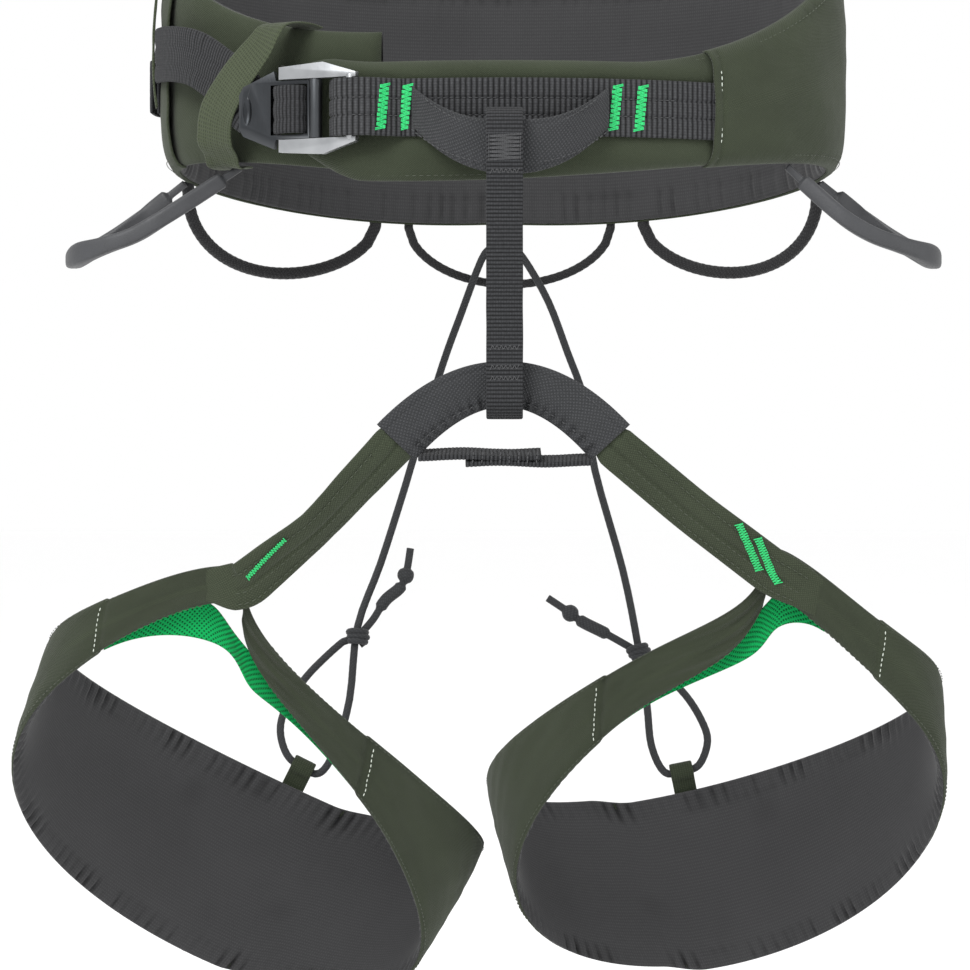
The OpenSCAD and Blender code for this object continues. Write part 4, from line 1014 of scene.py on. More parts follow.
def ribs(pitch, depth, grooves=(), groove_depth=0.35):
    def relief(s, x, side):
        raised = depth * np.abs(np.sin(math.pi * s / pitch)) ** 0.7
        for g in grooves:
            dip = np.exp(-((x - g) / 0.55) ** 2)
            raised = raised * (1 - 0.8 * dip) - groove_depth * dip
        return raised + 0.04 * ripple(s, x * 3, 9, 2)
    return relief


front_webbing = strap("waist_webbing", web_line, (0, 0, 1), WEB_W, WEB_T, rounded(110, 0.3),
                      ribs(2.3, 0.42, (-3.6, 3.6), 0.5), step=0.33)
place(front_webbing, "waist_belt", "grey_webbing", webbing_weave, "waist_webbing")


def web_at(x):
    """Point, direction and outward normal of the webbing's middle where it crosses x."""
    i = int(np.argmax(web_line[:, 0] > x)) - 1
    a, b = web_line[i], web_line[i + 1]
    t = unit(b - a)
    return a + (b - a) * (x - a[0]) / (b[0] - a[0]), t, unit(np.cross(t, [0, 0, 1]))


lock = []
for z in (-3.6, 3.6):
    pts = [web_at(x) for x in np.arange(-62, 72, 2.0)]
    lock.append((np.array([p[0] + [0, 0, z] + p[2] * (WEB_T / 2 + 0.05) for p in pts]), np.array([p[2] for p in pts])))
sew("waist_lock_stitches", lock, "waist_belt", "grey_webbing", grey_thread, pitch=2.6, length=1.9, width=0.5, lift=0.15)

# %% [markdown]
# Four bar tacks in green thread carry the load into the webbing. A bar tack is a dense
# zigzag, so its stitch line is a zigzag whose rows are 1 mm apart.

# %% Green bar tacks on the webbing
tacks = []
for x in (-51, -40.8, 46, 56.6):
    p, t, n = web_at(x)
    for shift in (-1, 1):
        tacks.append(zigzag(p + n * (WEB_T / 2 + 0.35) + [0, 0, shift * 0.3], [0, 0, 1] + t * 0.1, t, 9.4, 2.0, 1.9, n))
sew("waist_bar_tacks", tacks, "waist_belt", "green_thread", green_thread, pitch=0.65, length=1.15, width=0.62,
    lift=0.1, stands_for=("waist_bar_tacks",))

# %% [markdown]
# The adjusting strap comes from the hip, goes under the plate and up through its window. It
# is tubular webbing, which packs into three ridges along its length.

# %% Adjusting strap and its folded end
strap_v = COVER_OUT + 0.2 + WEB_T / 2
hip = [(-88.5, 0, 35), (-82, 0, 34), (-75, -0.2, 33), (-68, -0.5, 31.5), (-61, -0.9, 28.5), (-55.5, -1.3, 23)]
bz = WEB_Z + 0.2
strap_line = np.vstack([
    [belt_pt(a, strap_v + v, z) for a, v, z in hip],
    [at_buckle(-35, -0.2, 14), at_buckle(-28, -1.2, 6.5)],
    curve([at_buckle(-22, -1.5, bz + 0.6), at_buckle(-15.5, -1.5, bz), at_buckle(-11.6, -3.4, bz),
           at_buckle(-10.4, -7.4, bz), at_buckle(-7.2, -9.4, bz), at_buckle(-3, -9.7, bz), at_buckle(0.6, -8.2, bz),
           at_buckle(1.6, -4.8, bz), at_buckle(0.4, -2, bz)], 2)])
strap_width = WEB_W + (2 * PLATE_HALF - 4.6 - WEB_W) * smooth(8, 12, np.arange(len(strap_line)))
fine = curve(strap_line, 5)
fine_width = np.interp(np.linspace(0, 1, len(fine)), np.linspace(0, 1, len(strap_line)), strap_width)


def ridges(s, x, side):
    lengthwise = 0.55 * np.abs(np.cos(math.pi * (x / 8.2))) ** 0.6 - 0.3
    return lengthwise + 0.14 * np.abs(np.sin(math.pi * s / 1.6)) + 0.03 * ripple(s, x, 7, 1)


adjusting = strap("waist_strap", fine, (0, 0, 1), fine_width, WEB_T, rounded(80, 0.3), ridges, step=0.4)
place(adjusting, "waist_belt", "grey_webbing", fine_webbing, "waist_strap")

fold_v = [COVER_OUT + 1.2, COVER_OUT + 1.2, COVER_OUT + 1.4, COVER_OUT + 3.0, COVER_OUT + 4.3, COVER_OUT + 4.4,
          COVER_OUT + 4.2]
fold_a = [-91, -94, -98, -99.6, -98.4, -95, -90.6]
fold_line = curve([belt_pt(a, v, 22) for a, v in zip(fold_a, fold_v)], 6)
tail_fold = strap("strap_tail", fold_line, (0, 0, 1), 23.5, 1.5, rounded(48, 0.3), ribs(1.6, 0.16), step=0.5)
place(tail_fold, "waist_belt", "grey_webbing", fine_webbing, "strap_tail")

# %% [markdown]
# Elastic keepers hold the spare strap down. The front one is a wide olive band that comes
# over the padding's top edge, crosses the strap and goes under; tension gathers it.

# %% Keepers
def keeper(name, stations_given, half_angle, thickness, material, gather, widen=0.0):
    st = curve(stations_given, 8)
    wider = widen * smooth(keep_top - 2, -6, st[:, 0])
    a = belt_pt(st[:, 2] - half_angle - wider, st[:, 1], st[:, 0])
    b = belt_pt(st[:, 2] + half_angle, st[:, 1], st[:, 0])
    mid, w = (a + b) / 2, b - a
    relief = lambda s, x, side: side * gather * np.sin(x * 1.7 + 1.5 * ripple(s, x, 40, 1)) * 0.6 + 0.1 * ripple(s, x, 12, 3)
    made = strap(name, mid, w, np.linalg.norm(w, axis=1), thickness, rounded(48, 0.3), relief, step=0.6)
    place(made, "waist_belt", "olive_elastic", material, name)
    return mid, w


keep_top, keep_low = float(belt_top(320.0)) + 1.4, float(belt_low(306.0)) - 1.4
keeper("keeper_front", [
    (keep_top - 1, -17, -40), (keep_top, -10, -40), (keep_top, -1, -40), (keep_top - 1.5, 6, -40.4),
    (keep_top - 5, 9.4, -40.8), (keep_top - 12, strap_v + 1.5, -42.2), (16, strap_v + 2, -46.8),
    (3, strap_v + 2, -50.6), (-8, strap_v - 0.4, -52.4), (keep_low + 4, 3.4, -54.4), (keep_low, -2, -56.4),
    (keep_low, -12, -60)], 2.9, 0.9, olive_elastic, 0.12, 3.4)
keeper("keeper_side", [
    (70, strap_v - 0.1, -86.4), (60, strap_v + 0.6, -86.6), (48, strap_v + 1.6, -86.8), (35, strap_v + 1.9, -86.9),
    (22, strap_v + 1.6, -86.9), (12, strap_v + 0.4, -86.8)], 1.5, 1.1, olive_elastic, 0.1)

# %% [markdown]
# ## Buckle
# Two aluminium parts: a bright C-shaped frame, forged and tumbled, and a dark slotted plate
# that turns on its pin. Their CAD solids have the right shape but knife edges, so a copy of
# each is merged and its edges are bevelled, which is what tumbling does.

# %% Bevelled copies of the metal parts
def eased(node, width_mm, segments=3, angle=28):
    made = bpy.data.objects.new(node + "_eased", nodes[node].data.copy())
    bpy.context.scene.collection.objects.link(made)
    bm = bmesh.new()
    bm.from_mesh(made.data)
    bmesh.ops.remove_doubles(bm, verts=bm.verts, dist=1e-6)
    bmesh.ops.dissolve_limit(bm, angle_limit=math.radians(4), verts=bm.verts, edges=bm.edges)
    bm.to_mesh(made.data)
    bm.free()
    bevel = made.modifiers.new("eased edges", "BEVEL")
    bevel.width, bevel.segments, bevel.limit_method = width_mm / 1000, segments, "ANGLE"
    bevel.angle_limit = math.radians(angle)
    bevel.harden_normals = False
    bpy.context.view_layer.update()
    mesh = bpy.data.meshes.new_from_object(made.evaluated_get(bpy.context.evaluated_depsgraph_get()))
    made.modifiers.clear()
    made.data = mesh
    made.data.polygons.foreach_set("use_smooth", [True] * len(mesh.polygons))
    made.data.set_sharp_from_angle(angle=math.radians(38))
    return made


place(eased("buckle_frame", 0.7), "waist_belt", "bright_alloy", tumbled_aluminium, "buckle_frame")
place(eased("buckle_plate", 0.45), "buckle_plate", "dark_alloy", dark_anodised, "buckle_plate")

# %% [markdown]
# ## Belay loop and tie-in sleeves
# The belay loop is one length of 15 mm webbing laid twice round and sewn. Both plies are
# closed lofts, so no end shows. The join is a patch of close stitching near the top.

# %% Belay loop
def ring_line(radius, step=0.35):
    top, low = -LOOP_OUT, -128 + LOOP_OUT
    straight = np.arange(low, top, step)
    turn = np.arange(0, math.pi, step / radius)
    y0 = LOOP_Y
    down = np.stack([0 * straight, y0 - radius + 0 * straight, straight[::-1]], 1)
    bottom = np.stack([0 * turn, y0 - radius * np.cos(turn), low - radius * np.sin(turn)], 1)
    up = np.stack([0 * straight, y0 + radius + 0 * straight, straight], 1)
    over = np.stack([0 * turn, y0 + radius * np.cos(turn), top + radius * np.sin(turn)], 1)
    return np.vstack([down, bottom, up, over])


def ply(name, radius, thickness, depth, pitch=1.6, width=15.0):
    p = ring_line(radius)
    s = length_along(p)
    t = unit(np.roll(p, -1, 0) - np.roll(p, 1, 0))
    w = np.tile([1.0, 0, 0], (len(p), 1))
    n = unit(np.cross(w, t))
    section = rounded(40, 0.3)
    x, y = section[None, :, 0] * width / 2, section[None, :, 1] * thickness / 2
    rib = depth * np.abs(np.sin(math.pi * s[:, None] / pitch)) ** 0.7
    y = y + np.sign(y) * rib * np.minimum(1, np.abs(section[None, :, 1]) * 1.3)
    x = x + 0.12 * ripple(s[:, None], 0 * x, 19, 2)
    rings = p[:, None] + w[:, None] * x[..., None] + n[:, None] * y[..., None]
    return loft(name, rings, s, around_of(section, width / 2, thickness / 2), closed=True)


place(ply("belay_loop_outer", LOOP_R + 0.05 + PLY / 2, PLY - 0.3, 0.22), "belay_loop", "grey_webbing",
      fine_webbing, "belay_loop_outer")
place(ply("belay_loop_inner", LOOP_R - 0.05 - PLY / 2, PLY - 0.3, 0.12), "belay_loop", "grey_webbing",
      fine_webbing, "belay_loop_inner")
front_y = LOOP_Y - LOOP_OUT - 0.1
patch = [zigzag([0, front_y, -LOOP_OUT - 7 + d], [0, 0, 1], [1, 0, 0], 5.2, 6.4, 1.5, [0, -1, 0]) for d in (0, 0.4)]
for z in (-20, -92, -100, -104.5):
    patch.append(zigzag([0, front_y + 0.1, z - 7], [1, 0, 0], [0, 0, 1], 5.8, 0.8, 1.6, [0, -1, 0]))
sew("belay_stitching", patch, "belay_loop", "pale_thread", grey_thread, pitch=0.8, length=1.2, width=0.5, lift=0.1,
    stands_for=("belay_stitching",))

# %% [markdown]
# Sleeves of coarse weave shield the webbing where the rope runs. Each is a soft tube: fat in
# the middle, flat at its ends, with piped edges where its two halves are sewn and fine
# gathers where it is drawn along the curve.

# %% Tie-in sleeves
def sleeve_relief(width, gather):
    def relief(s, x, side):
        edge = width / 2 - 2.6
        seam = np.exp(-((np.abs(x) - edge) / 0.45) ** 2)
        low = smooth(0.1, 1.0, -x / (width / 2))
        folds = gather * low * (0.5 + 0.5 * np.cos(2 * math.pi * s / 5.2 + 2 * ripple(s, x * 0, 33, 1)))
        weave = 0.1 * np.cos(math.pi * s / 0.95) * np.cos(math.pi * x / 0.95)
        return 0.25 * ripple(s, x, 22, 3) - 0.5 * seam - folds + weave
    return relief


UP_X, UP_REACH = 2.7, 40.0
up_mid, up_end = -5 - 22.4 / 2, WEB_Z - 0.5
up_end_y = -MID_B - web_v - WEB_T / 2 - 1.9
t = np.linspace(-1, 1, 61)
m = np.abs(t)
upper_line = np.stack([UP_X + UP_REACH * t, LOOP_Y + (up_end_y + 4.4 - LOOP_Y) * m ** 2.2,
                       up_mid + (up_end - up_mid) * m ** 2.4], 1)
upper = strap("upper_tie_in_sleeve", upper_line, (0, 0, 1), 22.4 + (16.7 - 22.4) * m ** 1.5,
              5 + (2.6 - 5) * m ** 2, rounded(72, 0.6), sleeve_relief(22.4, 0.45), step=0.4, square=False)
place(upper, "waist_belt", "tie_in_weave", sleeve_weave, "upper_tie_in_sleeve")


def bridge_pt(s):
    s = np.asarray(s, float)
    return TIE + np.stack([REACH * s - 0.5 * np.abs(s), -2 * np.abs(s), 5.2 + SLEEVE_W / 2 - DROP * s * s], -1)


t = np.linspace(-1, 1, 71)
lower_line = bridge_pt(t)
lower = strap("lower_tie_in_sleeve", lower_line, (0, 0, 1), SLEEVE_W + (21.5 - SLEEVE_W) * np.abs(t),
              5 - 0.4 * np.abs(t), rounded(72, 0.6), sleeve_relief(18.5, 1.7), step=0.4)
place(lower, "leg_bridge", "tie_in_weave", sleeve_weave, "lower_tie_in_sleeve")

sleeve_lines = []
for line, width, thick in ((upper_line, 19.0, 4.6), (lower_line, 19.0, 4.4)):
    p = even(line, 1.5)[1]
    d = directions(p)
    w = square_to(np.tile([0.0, 0, 1], (len(p), 1)), d)
    n = unit(np.cross(d, w))
    n = np.where(n[:, 1:2] < 0, n, -n)
    inside = slice(4, len(p) - 4)
    sleeve_lines.append(((p + w * (width / 2 - 2.4) + n * thick * 0.36)[inside], n[inside]))
    sleeve_lines.append(((p - w * (width / 2 - 2.4) + n * thick * 0.36)[inside], n[inside]))
sew("upper_sleeve_stitches", sleeve_lines[:2], "waist_belt", "tie_in_weave", grey_thread, pitch=2.6, length=1.9,
    width=0.5, lift=0.1)
sew("lower_sleeve_stitches", sleeve_lines[2:], "leg_bridge", "tie_in_weave", grey_thread, pitch=2.6, length=1.9,
    width=0.5, lift=0.1)

# %% [markdown]
# Under the arch two plies of 16 mm webbing cross and are sewn together, so the leg straps
# can't spread. They are seen edge on.

# %% Cross straps
lean = math.radians(13)
for side, x0, x1, z in (("left", -REACH + 9, 15, -14.4), ("right", -16, REACH - 8, -16.9)):
    xs = np.arange(x0, x1 + 0.1, 2.0)
    line = np.stack([xs, TIE[1] + 0 * xs + 0.5 * np.sin(xs / 9), TIE[2] + z + 0.35 * np.sin(xs / 6 + z)], 1)
    made = strap("cross_strap_" + side, line, (0, math.cos(lean), math.sin(lean)), 16, 1.8, rounded(40, 0.3),
                 ribs(1.6, 0.22), step=0.4)
    place(made, "leg_bridge", "grey_webbing", fine_webbing, "cross_strap_" + side)
joint_lines = []
for x in np.linspace(-13, 13, 8):
    base = np.array([x, TIE[1] - 8.3, TIE[2] - 17.4])
    joint_lines.append((np.array([base, base + [0.3, 0, 3.2]]), np.tile([0, -1.0, 0], (2, 1))))
sew("cross_strap_stitches", joint_lines, "leg_bridge", "grey_webbing", grey_thread, pitch=1.6, length=1.5,
    width=0.6, lift=0.3)

# %% [markdown]
# ## Leg loops
# A leg loop is a padded band whose width grows from the strap to the back of the thigh.
# Like the belt it has an olive skin outside and a gathered liner inside. Elastic in its
# edges draws the liner into many small folds.

# %% Skins of the leg loops
LEG_SKIN, LEG_PAD = 0.8, 5.0
leg_foam = LEG_PAD / 2 - LEG_SKIN
SEAMS = {"left": (41.5, -48.5), "right": (31.5, -46.0)}


def leg_stations(g, step, a0=1.2, a1=358.0):
    turn = np.linspace(a0, a1, 1600)
    a = np.where(turn <= 180, turn, turn - 360)
    s, turn = even(leg_pt(g, a), step, turn)[::2]
    return s, np.where(turn <= 180, turn, turn - 360)


def leg_swell(a):
    return 0.5 + 0.5 * smooth(4, 60, np.abs(a))


def leg_shift(a):
    return np.sign(a) * 2.2 * np.exp(-(np.abs(a) / 14) ** 2)


def leg_skin(name, side, face, e_in, v_in, e_out, v_out, relief, step=1.2, n=26):
    g = LEGS[side]
    s, a = leg_stations(g, step)
    p, w, out, half = leg_pt(g, a), leg_w(g, a), leg_n(g, a), leg_half(g, a) - LEG_SKIN
    beyond = smooth(SEAMS[side][0] - 0.6, SEAMS[side][0] + 0.6, a) + smooth(-SEAMS[side][1] - 0.6,
                                                                        -SEAMS[side][1] + 0.6, -a)
    half = half + 0.9 * beyond - 0.4
    c, walls, folds = crown(n), [], []
    for e, v, flip in ((e_out, v_out, False), (e_in, v_in, True)):
        x, y = c[:, 0], c[:, 1]
        across = x[None] * half[:, None] + np.sign(x)[None] * e
        d = relief(s[:, None], across, x[None], a[:, None]) * np.minimum(1, y[None] * 1.6)
        folds.append(d[:, ::-1] if flip else d)
        off = face * (0.05 + y[None] * v * leg_swell(a)[:, None] + (d if not flip else 0.85 * d)) + leg_shift(a)[:, None]
        ring = p[:, None] + w[:, None] * across[..., None] + out[:, None] * off[..., None]
        walls.append(ring[:, ::-1] if flip else ring)
    rings = np.concatenate(walls, 1)
    around = length_along(np.vstack([rings[len(a) // 2], rings[len(a) // 2][:1]]))
    # The fold depths go onto the mesh for the painted shade in the folds.
    return mark_fold_shade(loft(name, rings, s, around), np.concatenate(folds, 1))


def leg_shell_relief(side):
    def relief(s, across, x, a):
        seam = sum(np.exp(-((a - k) / 1.0) ** 2) for k in SEAMS[side])
        near = np.exp(-(a + 16) ** 2 / 260)
        return (0.75 * ripple(s, across, 48, 0) + 0.4 * ripple(s, across * 1.5, 19, 1) - 0.6 * seam
                + 0.7 * near * np.sin(across * 0.9 + s / 7)
                - 0.35 * np.exp(-((np.abs(x) - 0.9) / 0.03) ** 2)
                - pucker(s, 0.4, 6, 2) * np.exp(-((np.abs(x) - 1) / 0.15) ** 2))
    return relief


def leg_liner_relief(s, across, x, a):
    far = smooth(35, 75, np.abs(a))
    high = np.exp(-((1 - x) / 0.2) ** 2) + np.exp(-((1 + x) / 0.2) ** 2)
    return (far * (0.9 * ripple(s, across, 45, 2) - pucker(s, 3.0, 5.6, 4) * high
                   + 0.6 * np.sin(2 * math.pi * s / 5.0 + ripple(s, across, 30, 0)) * high)
            - 0.6 * far * np.exp(-((np.abs(x) - 0.78) / 0.02) ** 2))


for side in LEGS:
    body = "leg_loop_" + side
    outer = leg_skin("leg_shell_" + side, side, 1, 0.1, leg_foam + 0.1, LEG_SKIN, LEG_PAD / 2, leg_shell_relief(side))
    place(outer, body, "olive_fabric", olive_twill, "leg_shell_" + side, "leg_foam_" + side)
    inner = leg_skin("leg_liner_" + side, side, -1, 0.1, leg_foam + 0.1, LEG_SKIN, LEG_PAD / 2, leg_liner_relief,
                     step=0.9, n=34)
    place(inner, body, "dark_liner", liner_knit, "leg_liner_" + side)

# %% [markdown]
# The strap from the sleeve runs on over the leg loop's start and fades into it, as the sewn
# original does. It is folded lengthwise, which leaves a groove along its middle.

# %% Leg straps
STRAPS = {
    "left": dict(middle=(-77, 14, -43.5), lean=(0.55, 1.1, 0.28), width=20, thick=3.2, run=16),
    "right": dict(middle=(78, 13, -38), lean=(0.1, 0.3, 0.28), width=19, thick=3.2, run=20),
}


def strap_points(side):
    g, f = LEGS[side], STRAPS[side]
    k = g["side"]
    e = bridge_pt(float(k))
    start = e + unit(e - bridge_pt(k * 0.96)) * HINGE_GAP
    end = leg_pt(g, np.array(1.2)) + leg_n(g, np.array(4.0)) * (4.4 + f["thick"] / 2)
    mid = TIE + np.array(f["middle"])
    return curve([start, (start + mid) / 2, mid, (mid + end) / 2, end], 8)


def strap_frame(side):
    """Line, width direction, width and thickness from inside the sleeve to the faded end."""
    g, f = LEGS[side], STRAPS[side]
    k = g["side"]
    c = strap_points(side)
    u = np.linspace(0, 1, len(c))
    lean_u = np.interp(u, [0, 0.5, 1], f["lean"])
    t = directions(c)
    w = square_to(np.stack([0 * u + k * 0.6, -lean_u, 0 * u + 0.8], 1), t)
    width = f["width"] - 1 + 2 * u
    thick = np.full(len(c), f["thick"])
    hidden = np.array([bridge_pt(k * q) for q in (0.93, 0.975)])
    a = np.linspace(3.5, f["run"], 10)
    fade = smooth(2, f["run"], a)
    thick2 = f["thick"] * (1 - fade) + 0.7 * fade
    outer_face = LEG_PAD / 2 * leg_swell(a) + leg_shift(a)
    off = outer_face + (1.0 + thick2 / 2) * (1 - fade) - 1.6 * fade
    far = leg_pt(g, a) + leg_n(g, a) * off[:, None]
    line = np.vstack([hidden, c[:-1], far])
    sign = np.sign((w[-1] * leg_w(g, np.array(3.5))).sum())
    sleeve_w = square_to(np.array([[0, 0, 1.0]]), unit(c[:1] - hidden[1:]))
    w_all = np.vstack([sleeve_w, sleeve_w, w[:-1], sign * leg_w(g, a)])
    width_all = np.concatenate([[width[0] - 5, width[0] - 3], width[:-1],
                                (f["width"] + 1) * (1 - fade) + 1.1 * leg_half(g, a) * fade])
    thick_all = np.concatenate([[1.6, 2.2], thick[:-1], thick2])
    s, line, w_all, width_all, thick_all = even(line, 1.2, w_all, width_all, thick_all)
    kernel = np.ones(5) / 5
    for _ in range(2):
        inner = np.stack([np.convolve(line[:, i], kernel, "valid") for i in range(3)], 1)
        line = np.vstack([line[:2], inner, line[-2:]])
    return s, line, w_all, width_all, thick_all


def strap_relief(side, s_end):
    half = STRAPS[side]["width"] / 2
    def relief(s, x, face):
        fade = 1 - smooth(s_end * 0.72, s_end * 0.9, s)
        split = np.exp(-((x + 1.0) / 0.9) ** 2)
        seams = sum(np.exp(-((x - q) / 0.45) ** 2) for q in (-half * 0.72, half * 0.55))
        return (0.25 * ripple(s, x, 26, 1) + 0.1 * ripple(s, x, 8, 2) - (0.95 * split + 0.35 * seams) * fade
                + 0.35 * np.cos(math.pi * x / half) * fade)
    return relief


strap_frames = {}
for side in LEGS:
    s, line, w, width, thick = strap_frames[side] = strap_frame(side)
    made = strap("leg_strap_" + side, line, w, width, thick, rounded(64, 0.5), strap_relief(side, s[-1]), step=0.6)
    place(made, "leg_loop_" + side, "olive_fabric", olive_twill, "leg_strap_" + side)
    made.parent = None
    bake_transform(made)

# %% Stitches on the straps and the leg loops
def strap_place(side, u, across, lift=0.0):
    """Place on a strap: u runs from the sleeve to the leg loop, across from -1 to 1."""
    s, line, w, width, thick = strap_frames[side]
    t = directions(line)
    at = lambda v: np.array([np.interp(u * s[-1], s, np.asarray(v)[:, i]) for i in range(3)])
    p, tt = at(line), unit(at(t))
    ww = square_to(unit(at(w)), tt)
    n = np.cross(tt, ww)
    n = n if n[1] < 0 else -n
    wide, thin = np.interp(u * s[-1], s, width), np.interp(u * s[-1], s, thick)
    return p + ww * across * wide / 2 + n * (thin / 2 + lift), n, ww, tt


for side in LEGS:
    body = "leg_loop_" + side
    runs = []
    for across in (-0.72, 0.55, -0.25):
        made = [strap_place(side, u, across, 0.1) for u in np.linspace(0.12, 0.82, 46)]
        runs.append((np.array([q[0] for q in made]), np.array([q[1] for q in made])))
    g = LEGS[side]
    for edge in (-1, 1):
        s, a = leg_stations(g, 1.5, 12, 344)
        half = leg_half(g, a) + 0.3
        off = LEG_PAD / 2 * leg_swell(a) * 0.62 + leg_shift(a)
        pts = leg_pt(g, a) + leg_w(g, a) * (edge * half * 0.935)[:, None] + leg_n(g, a) * off[:, None]
        runs.append((pts, leg_n(g, a) * 0.9 + leg_w(g, a) * edge * 0.4))
    sew("leg_stitches_" + side, runs, body, "olive_fabric", olive_thread, pitch=3.0, length=2.1, width=0.4, lift=0.02)
    marks = []
    for k in SEAMS[side]:
        a = np.full(20, k + (1.6 if k > 0 else -1.6))
        half = leg_half(g, a)
        x = np.linspace(-0.78, 0.72, 20)
        top = np.sqrt(1 - np.abs(x) ** 3) ** 0.7
        pts = leg_pt(g, a) + leg_w(g, a) * (x * half)[:, None] + leg_n(g, a) * (
            LEG_PAD / 2 * leg_swell(a) * top + leg_shift(a) + 0.1)[:, None]
        wobble = 0.35 * np.sin(np.arange(20) * 2.3)
        pts = pts + np.outer(wobble, unit(leg_pt(g, a[0] + 0.5) - leg_pt(g, a[0] - 0.5)))
        marks.append((pts, leg_n(g, a)))
    sew("leg_marks_" + side, marks, body, "pale_thread", pale_thread, pitch=2.3, length=1.6, width=0.5, lift=0.3)

# %% [markdown]
# Green bar tacks lock the leg straps: two slanting ones on one side, and on the other a long
# one along the edge, which is seen from its side.

# %% Green bar tacks on the leg straps
def slanted(side, u0, x0, u1, x1, half_wide, row):
    n = 40
    pts, outs = [], []
    for i, q in enumerate(np.linspace(0, 1, n)):
        p, normal, ww, tt = strap_place(side, u0 + (u1 - u0) * q, x0 + (x1 - x0) * q, 0.35)
        a, _, _, _ = strap_place(side, u0, x0)
        b, _, _, _ = strap_place(side, u1, x1)
        across = np.cross(normal, unit(b - a))
        pts.append(p + across * (half_wide if i % 2 else -half_wide))
        outs.append(normal)
    return np.array(pts), np.array(outs)


for side, rows in (("left", [(0.55, 0.66, 0.76, 0.24)]),
                   ("right", [(0.52, 0.84, 0.68, -0.25), (0.60, 0.84, 0.755, -0.28)])):
    tacks = [slanted(side, *r, 1.5 if side == "right" else 0.9, 1.0) for r in rows]
    sew("leg_tacks_" + side, tacks, "leg_loop_" + side, "green_thread", green_thread, pitch=0.6, length=1.0,
        width=0.6, lift=0.1, stands_for=("leg_tacks_" + side,))

# %% [markdown]
# The gusset is a crescent of stretch mesh sewn under the leg loop's arch. Its upper edge
# follows the padding's lower edge from one branch to the other; its lower edge hangs free in
# one smooth curve. It is a single cut of cloth.

# %% Mesh gussets
GUSSETS = {"left": dict(outer=42, inner=62, drop=24, po=1.6, pi=3.8, fork=9), "right":
           dict(outer=17, inner=44, drop=18, po=1.6, pi=2.4, fork=2)}


def gusset(side):
    g, f = LEGS[side], GUSSETS[side]
    x = np.concatenate([np.linspace(-f["inner"], -2, 60), np.linspace(-1.4, f["outer"], 50)])
    safe = np.where(np.abs(x) < f["fork"], np.sign(x) * f["fork"], x)
    edge = leg_pt(g, x) - leg_w(g, x) * leg_half(g, x)[:, None] + np.array([0, 5.2, 0])
    upper = leg_pt(g, safe) - leg_w(g, safe) * (leg_half(g, safe) - 3)[:, None] + np.array([0, 5.2, 0])
    joint = np.clip((x + f["fork"]) / (2 * f["fork"]), 0, 1)
    inside = np.abs(x) < f["fork"]
    a, b = upper[0 + int(np.argmax(x > -f["fork"])) - 1], upper[int(np.argmax(x >= f["fork"]))]
    bridge = a + joint[:, None] * (b - a) - np.outer(4 * joint * (1 - joint) * 3.0, [0, 0, 1])
    upper = np.where(inside[:, None], bridge, upper)
    fall = f["drop"] * np.where(x >= 0, np.clip(1 - x / f["outer"], 0, 1) ** f["po"],
                                np.clip(1 + x / f["inner"], 0, 1) ** f["pi"])
    lower = edge - np.outer(fall, [0, 0, 1])
    kernel = np.hanning(23)
    kernel /= kernel.sum()
    for line in (upper, lower):
        padded = np.vstack([np.repeat(line[:1], 11, 0), line, np.repeat(line[-1:], 11, 0)])
        for i in range(3):
            line[:, i] = np.convolve(padded[:, i], kernel, "valid")
    t = np.linspace(0, 1, 15)
    grid = upper[:, None] * (1 - t)[None, :, None] + lower[:, None] * t[None, :, None]
    grid[..., 1] += 1.6 * np.sin(math.pi * t)[None] * (fall / f["drop"])[:, None]
    return grid


for side in LEGS:
    grid = gusset(side)
    rows, cols = grid.shape[:2]
    s = length_along(grid[:, -1])
    depth = np.linalg.norm(grid[:, 1:] - grid[:, :-1], axis=2)
    v = np.concatenate([np.zeros((rows, 1)), np.cumsum(depth, 1)], 1)
    uv = np.stack([np.repeat(s[:, None], cols, 1), -v], -1).reshape(-1, 2)
    faces = [(i * cols + j, (i + 1) * cols + j, (i + 1) * cols + j + 1, i * cols + j + 1)
             for i in range(rows - 1) for j in range(cols - 1)]
    mesh = plain("mesh_gusset_" + side, grid.reshape(-1, 3), faces, uv)
    thick = mesh.modifiers.new("cloth thickness", "SOLIDIFY")
    thick.thickness, thick.offset = 0.0006, 0
    place(mesh, "leg_loop_" + side, "green_mesh", green_mesh, "mesh_gusset_" + side)

# %% [markdown]
# Small parts at the back: an olive webbing tab on each leg loop and a dark one under the belt
# hold the risers. A tab is one tape folded over the cord, so it is lofted round a folded line.

# %% Rear tabs and the riser anchor
def folded_tape(name, eye, bore, thick, width, up, out, tongue, body, slot, material, node):
    """A tape that comes up one side of the eye, goes over the cord and down the other side."""
    r = bore / 2 + thick / 2 + 0.1
    turn = np.linspace(math.radians(-62), math.radians(242), 30)
    loop = [eye + r * (math.cos(q) * out + math.sin(q) * up) for q in turn]
    neck = eye - up * (bore / 2 + 3.2)
    end = eye - up * tongue
    line = np.vstack([[end + out * (thick * 0.55), neck + out * thick * 0.55], loop,
                      [neck - out * thick * 0.55, end - out * (thick * 0.55)]])
    made = strap(name, curve(line, 3), np.cross(up, out), width, thick, rounded(40, 0.3), ribs(1.5, 0.1), step=0.35)
    place(made, body, slot, material, node)
    return made


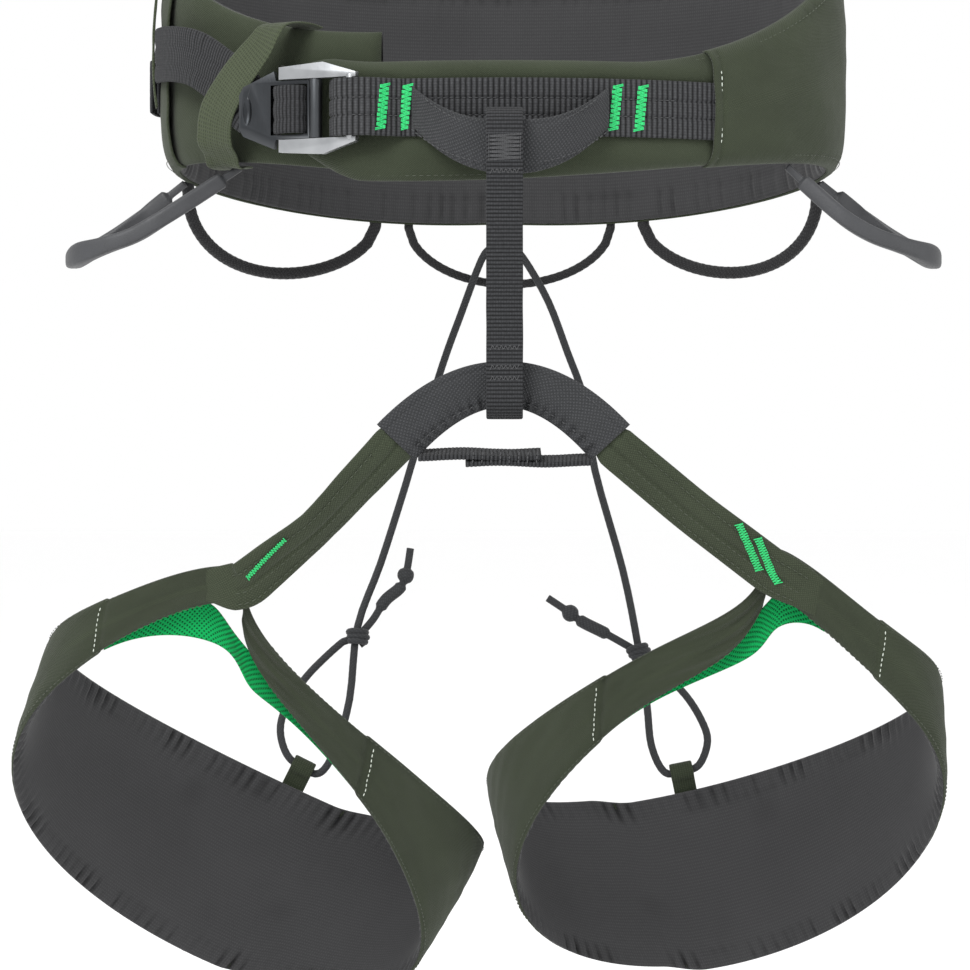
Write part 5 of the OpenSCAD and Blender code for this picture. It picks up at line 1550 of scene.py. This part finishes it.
for side in LEGS:
    g, (a, lean_x) = LEGS[side], TABS[side]
    up = unit([lean_x, 0, 1])
    out = unit(square_to(leg_n(g, np.array(a)), up))
    out = unit(out * [0, 1, 0] + 1e-6)
    folded_tape("rear_tab_" + side, tab_eye(side), 6, 1.1, 10.4, up, np.array([0, 1.0, 0]), 15, "leg_loop_" + side,
                "olive_fabric", olive_binding, "rear_tab_" + side)
folded_tape("riser_anchor_tab", ANCHOR, 6.4, 1.2, 11, np.array([0, 0, 1.0]), np.array([0, 1.0, 0]), 10.2,
            "waist_belt", "grey_webbing", webbing_weave, "riser_anchor_tab")

# %% [markdown]
# ## Studio
# A pale floor and soft light from all round, as for a catalogue: one broad light from the
# upper left models the folds and a weak one from the right opens the shadows.

# %% Floor and lights
floor = plain("floor", [(-9000, -4000, -430), (9000, -4000, -430), (9000, 20000, -430), (-9000, 20000, -430)],
              [(0, 1, 2, 3)], smooth_shading=False)
paper, tree, shader = surface("pale_paper", 0.9)
place_in = add(tree, "ShaderNodeTexCoord")
mottle = add(tree, "ShaderNodeTexNoise", {"Vector": place_in.outputs["Object"], "Scale": 3.0})
tree.links.new(blend_colours(tree, mottle.outputs["Fac"], "#fefefe", "#ffffff").outputs[0], shader.inputs["Base Color"])
floor.data.materials.append(paper)

world = bpy.data.worlds.new("studio")
world.use_nodes = True
sky = world.node_tree.nodes["Background"]
sky.inputs["Color"].default_value = (1, 1, 1, 1)
sky.inputs["Strength"].default_value = 1.0
bpy.context.scene.world = world
for name, place_at, turn, size, power in (("key", (-0.9, -1.5, 1.2), (50, 0, -30), 1.0, 34),
                                          ("fill", (1.3, -1.0, 0.2), (80, 0, 55), 1.2, 5)):
    lamp = bpy.data.lights.new(name, "AREA")
    lamp.energy, lamp.size = power, size
    lamp_object = bpy.data.objects.new(name, lamp)
    lamp_object.location = place_at
    lamp_object.rotation_euler = [math.radians(x) for x in turn]
    bpy.context.scene.collection.objects.link(lamp_object)
bpy.context.scene.view_settings.view_transform = "Standard"
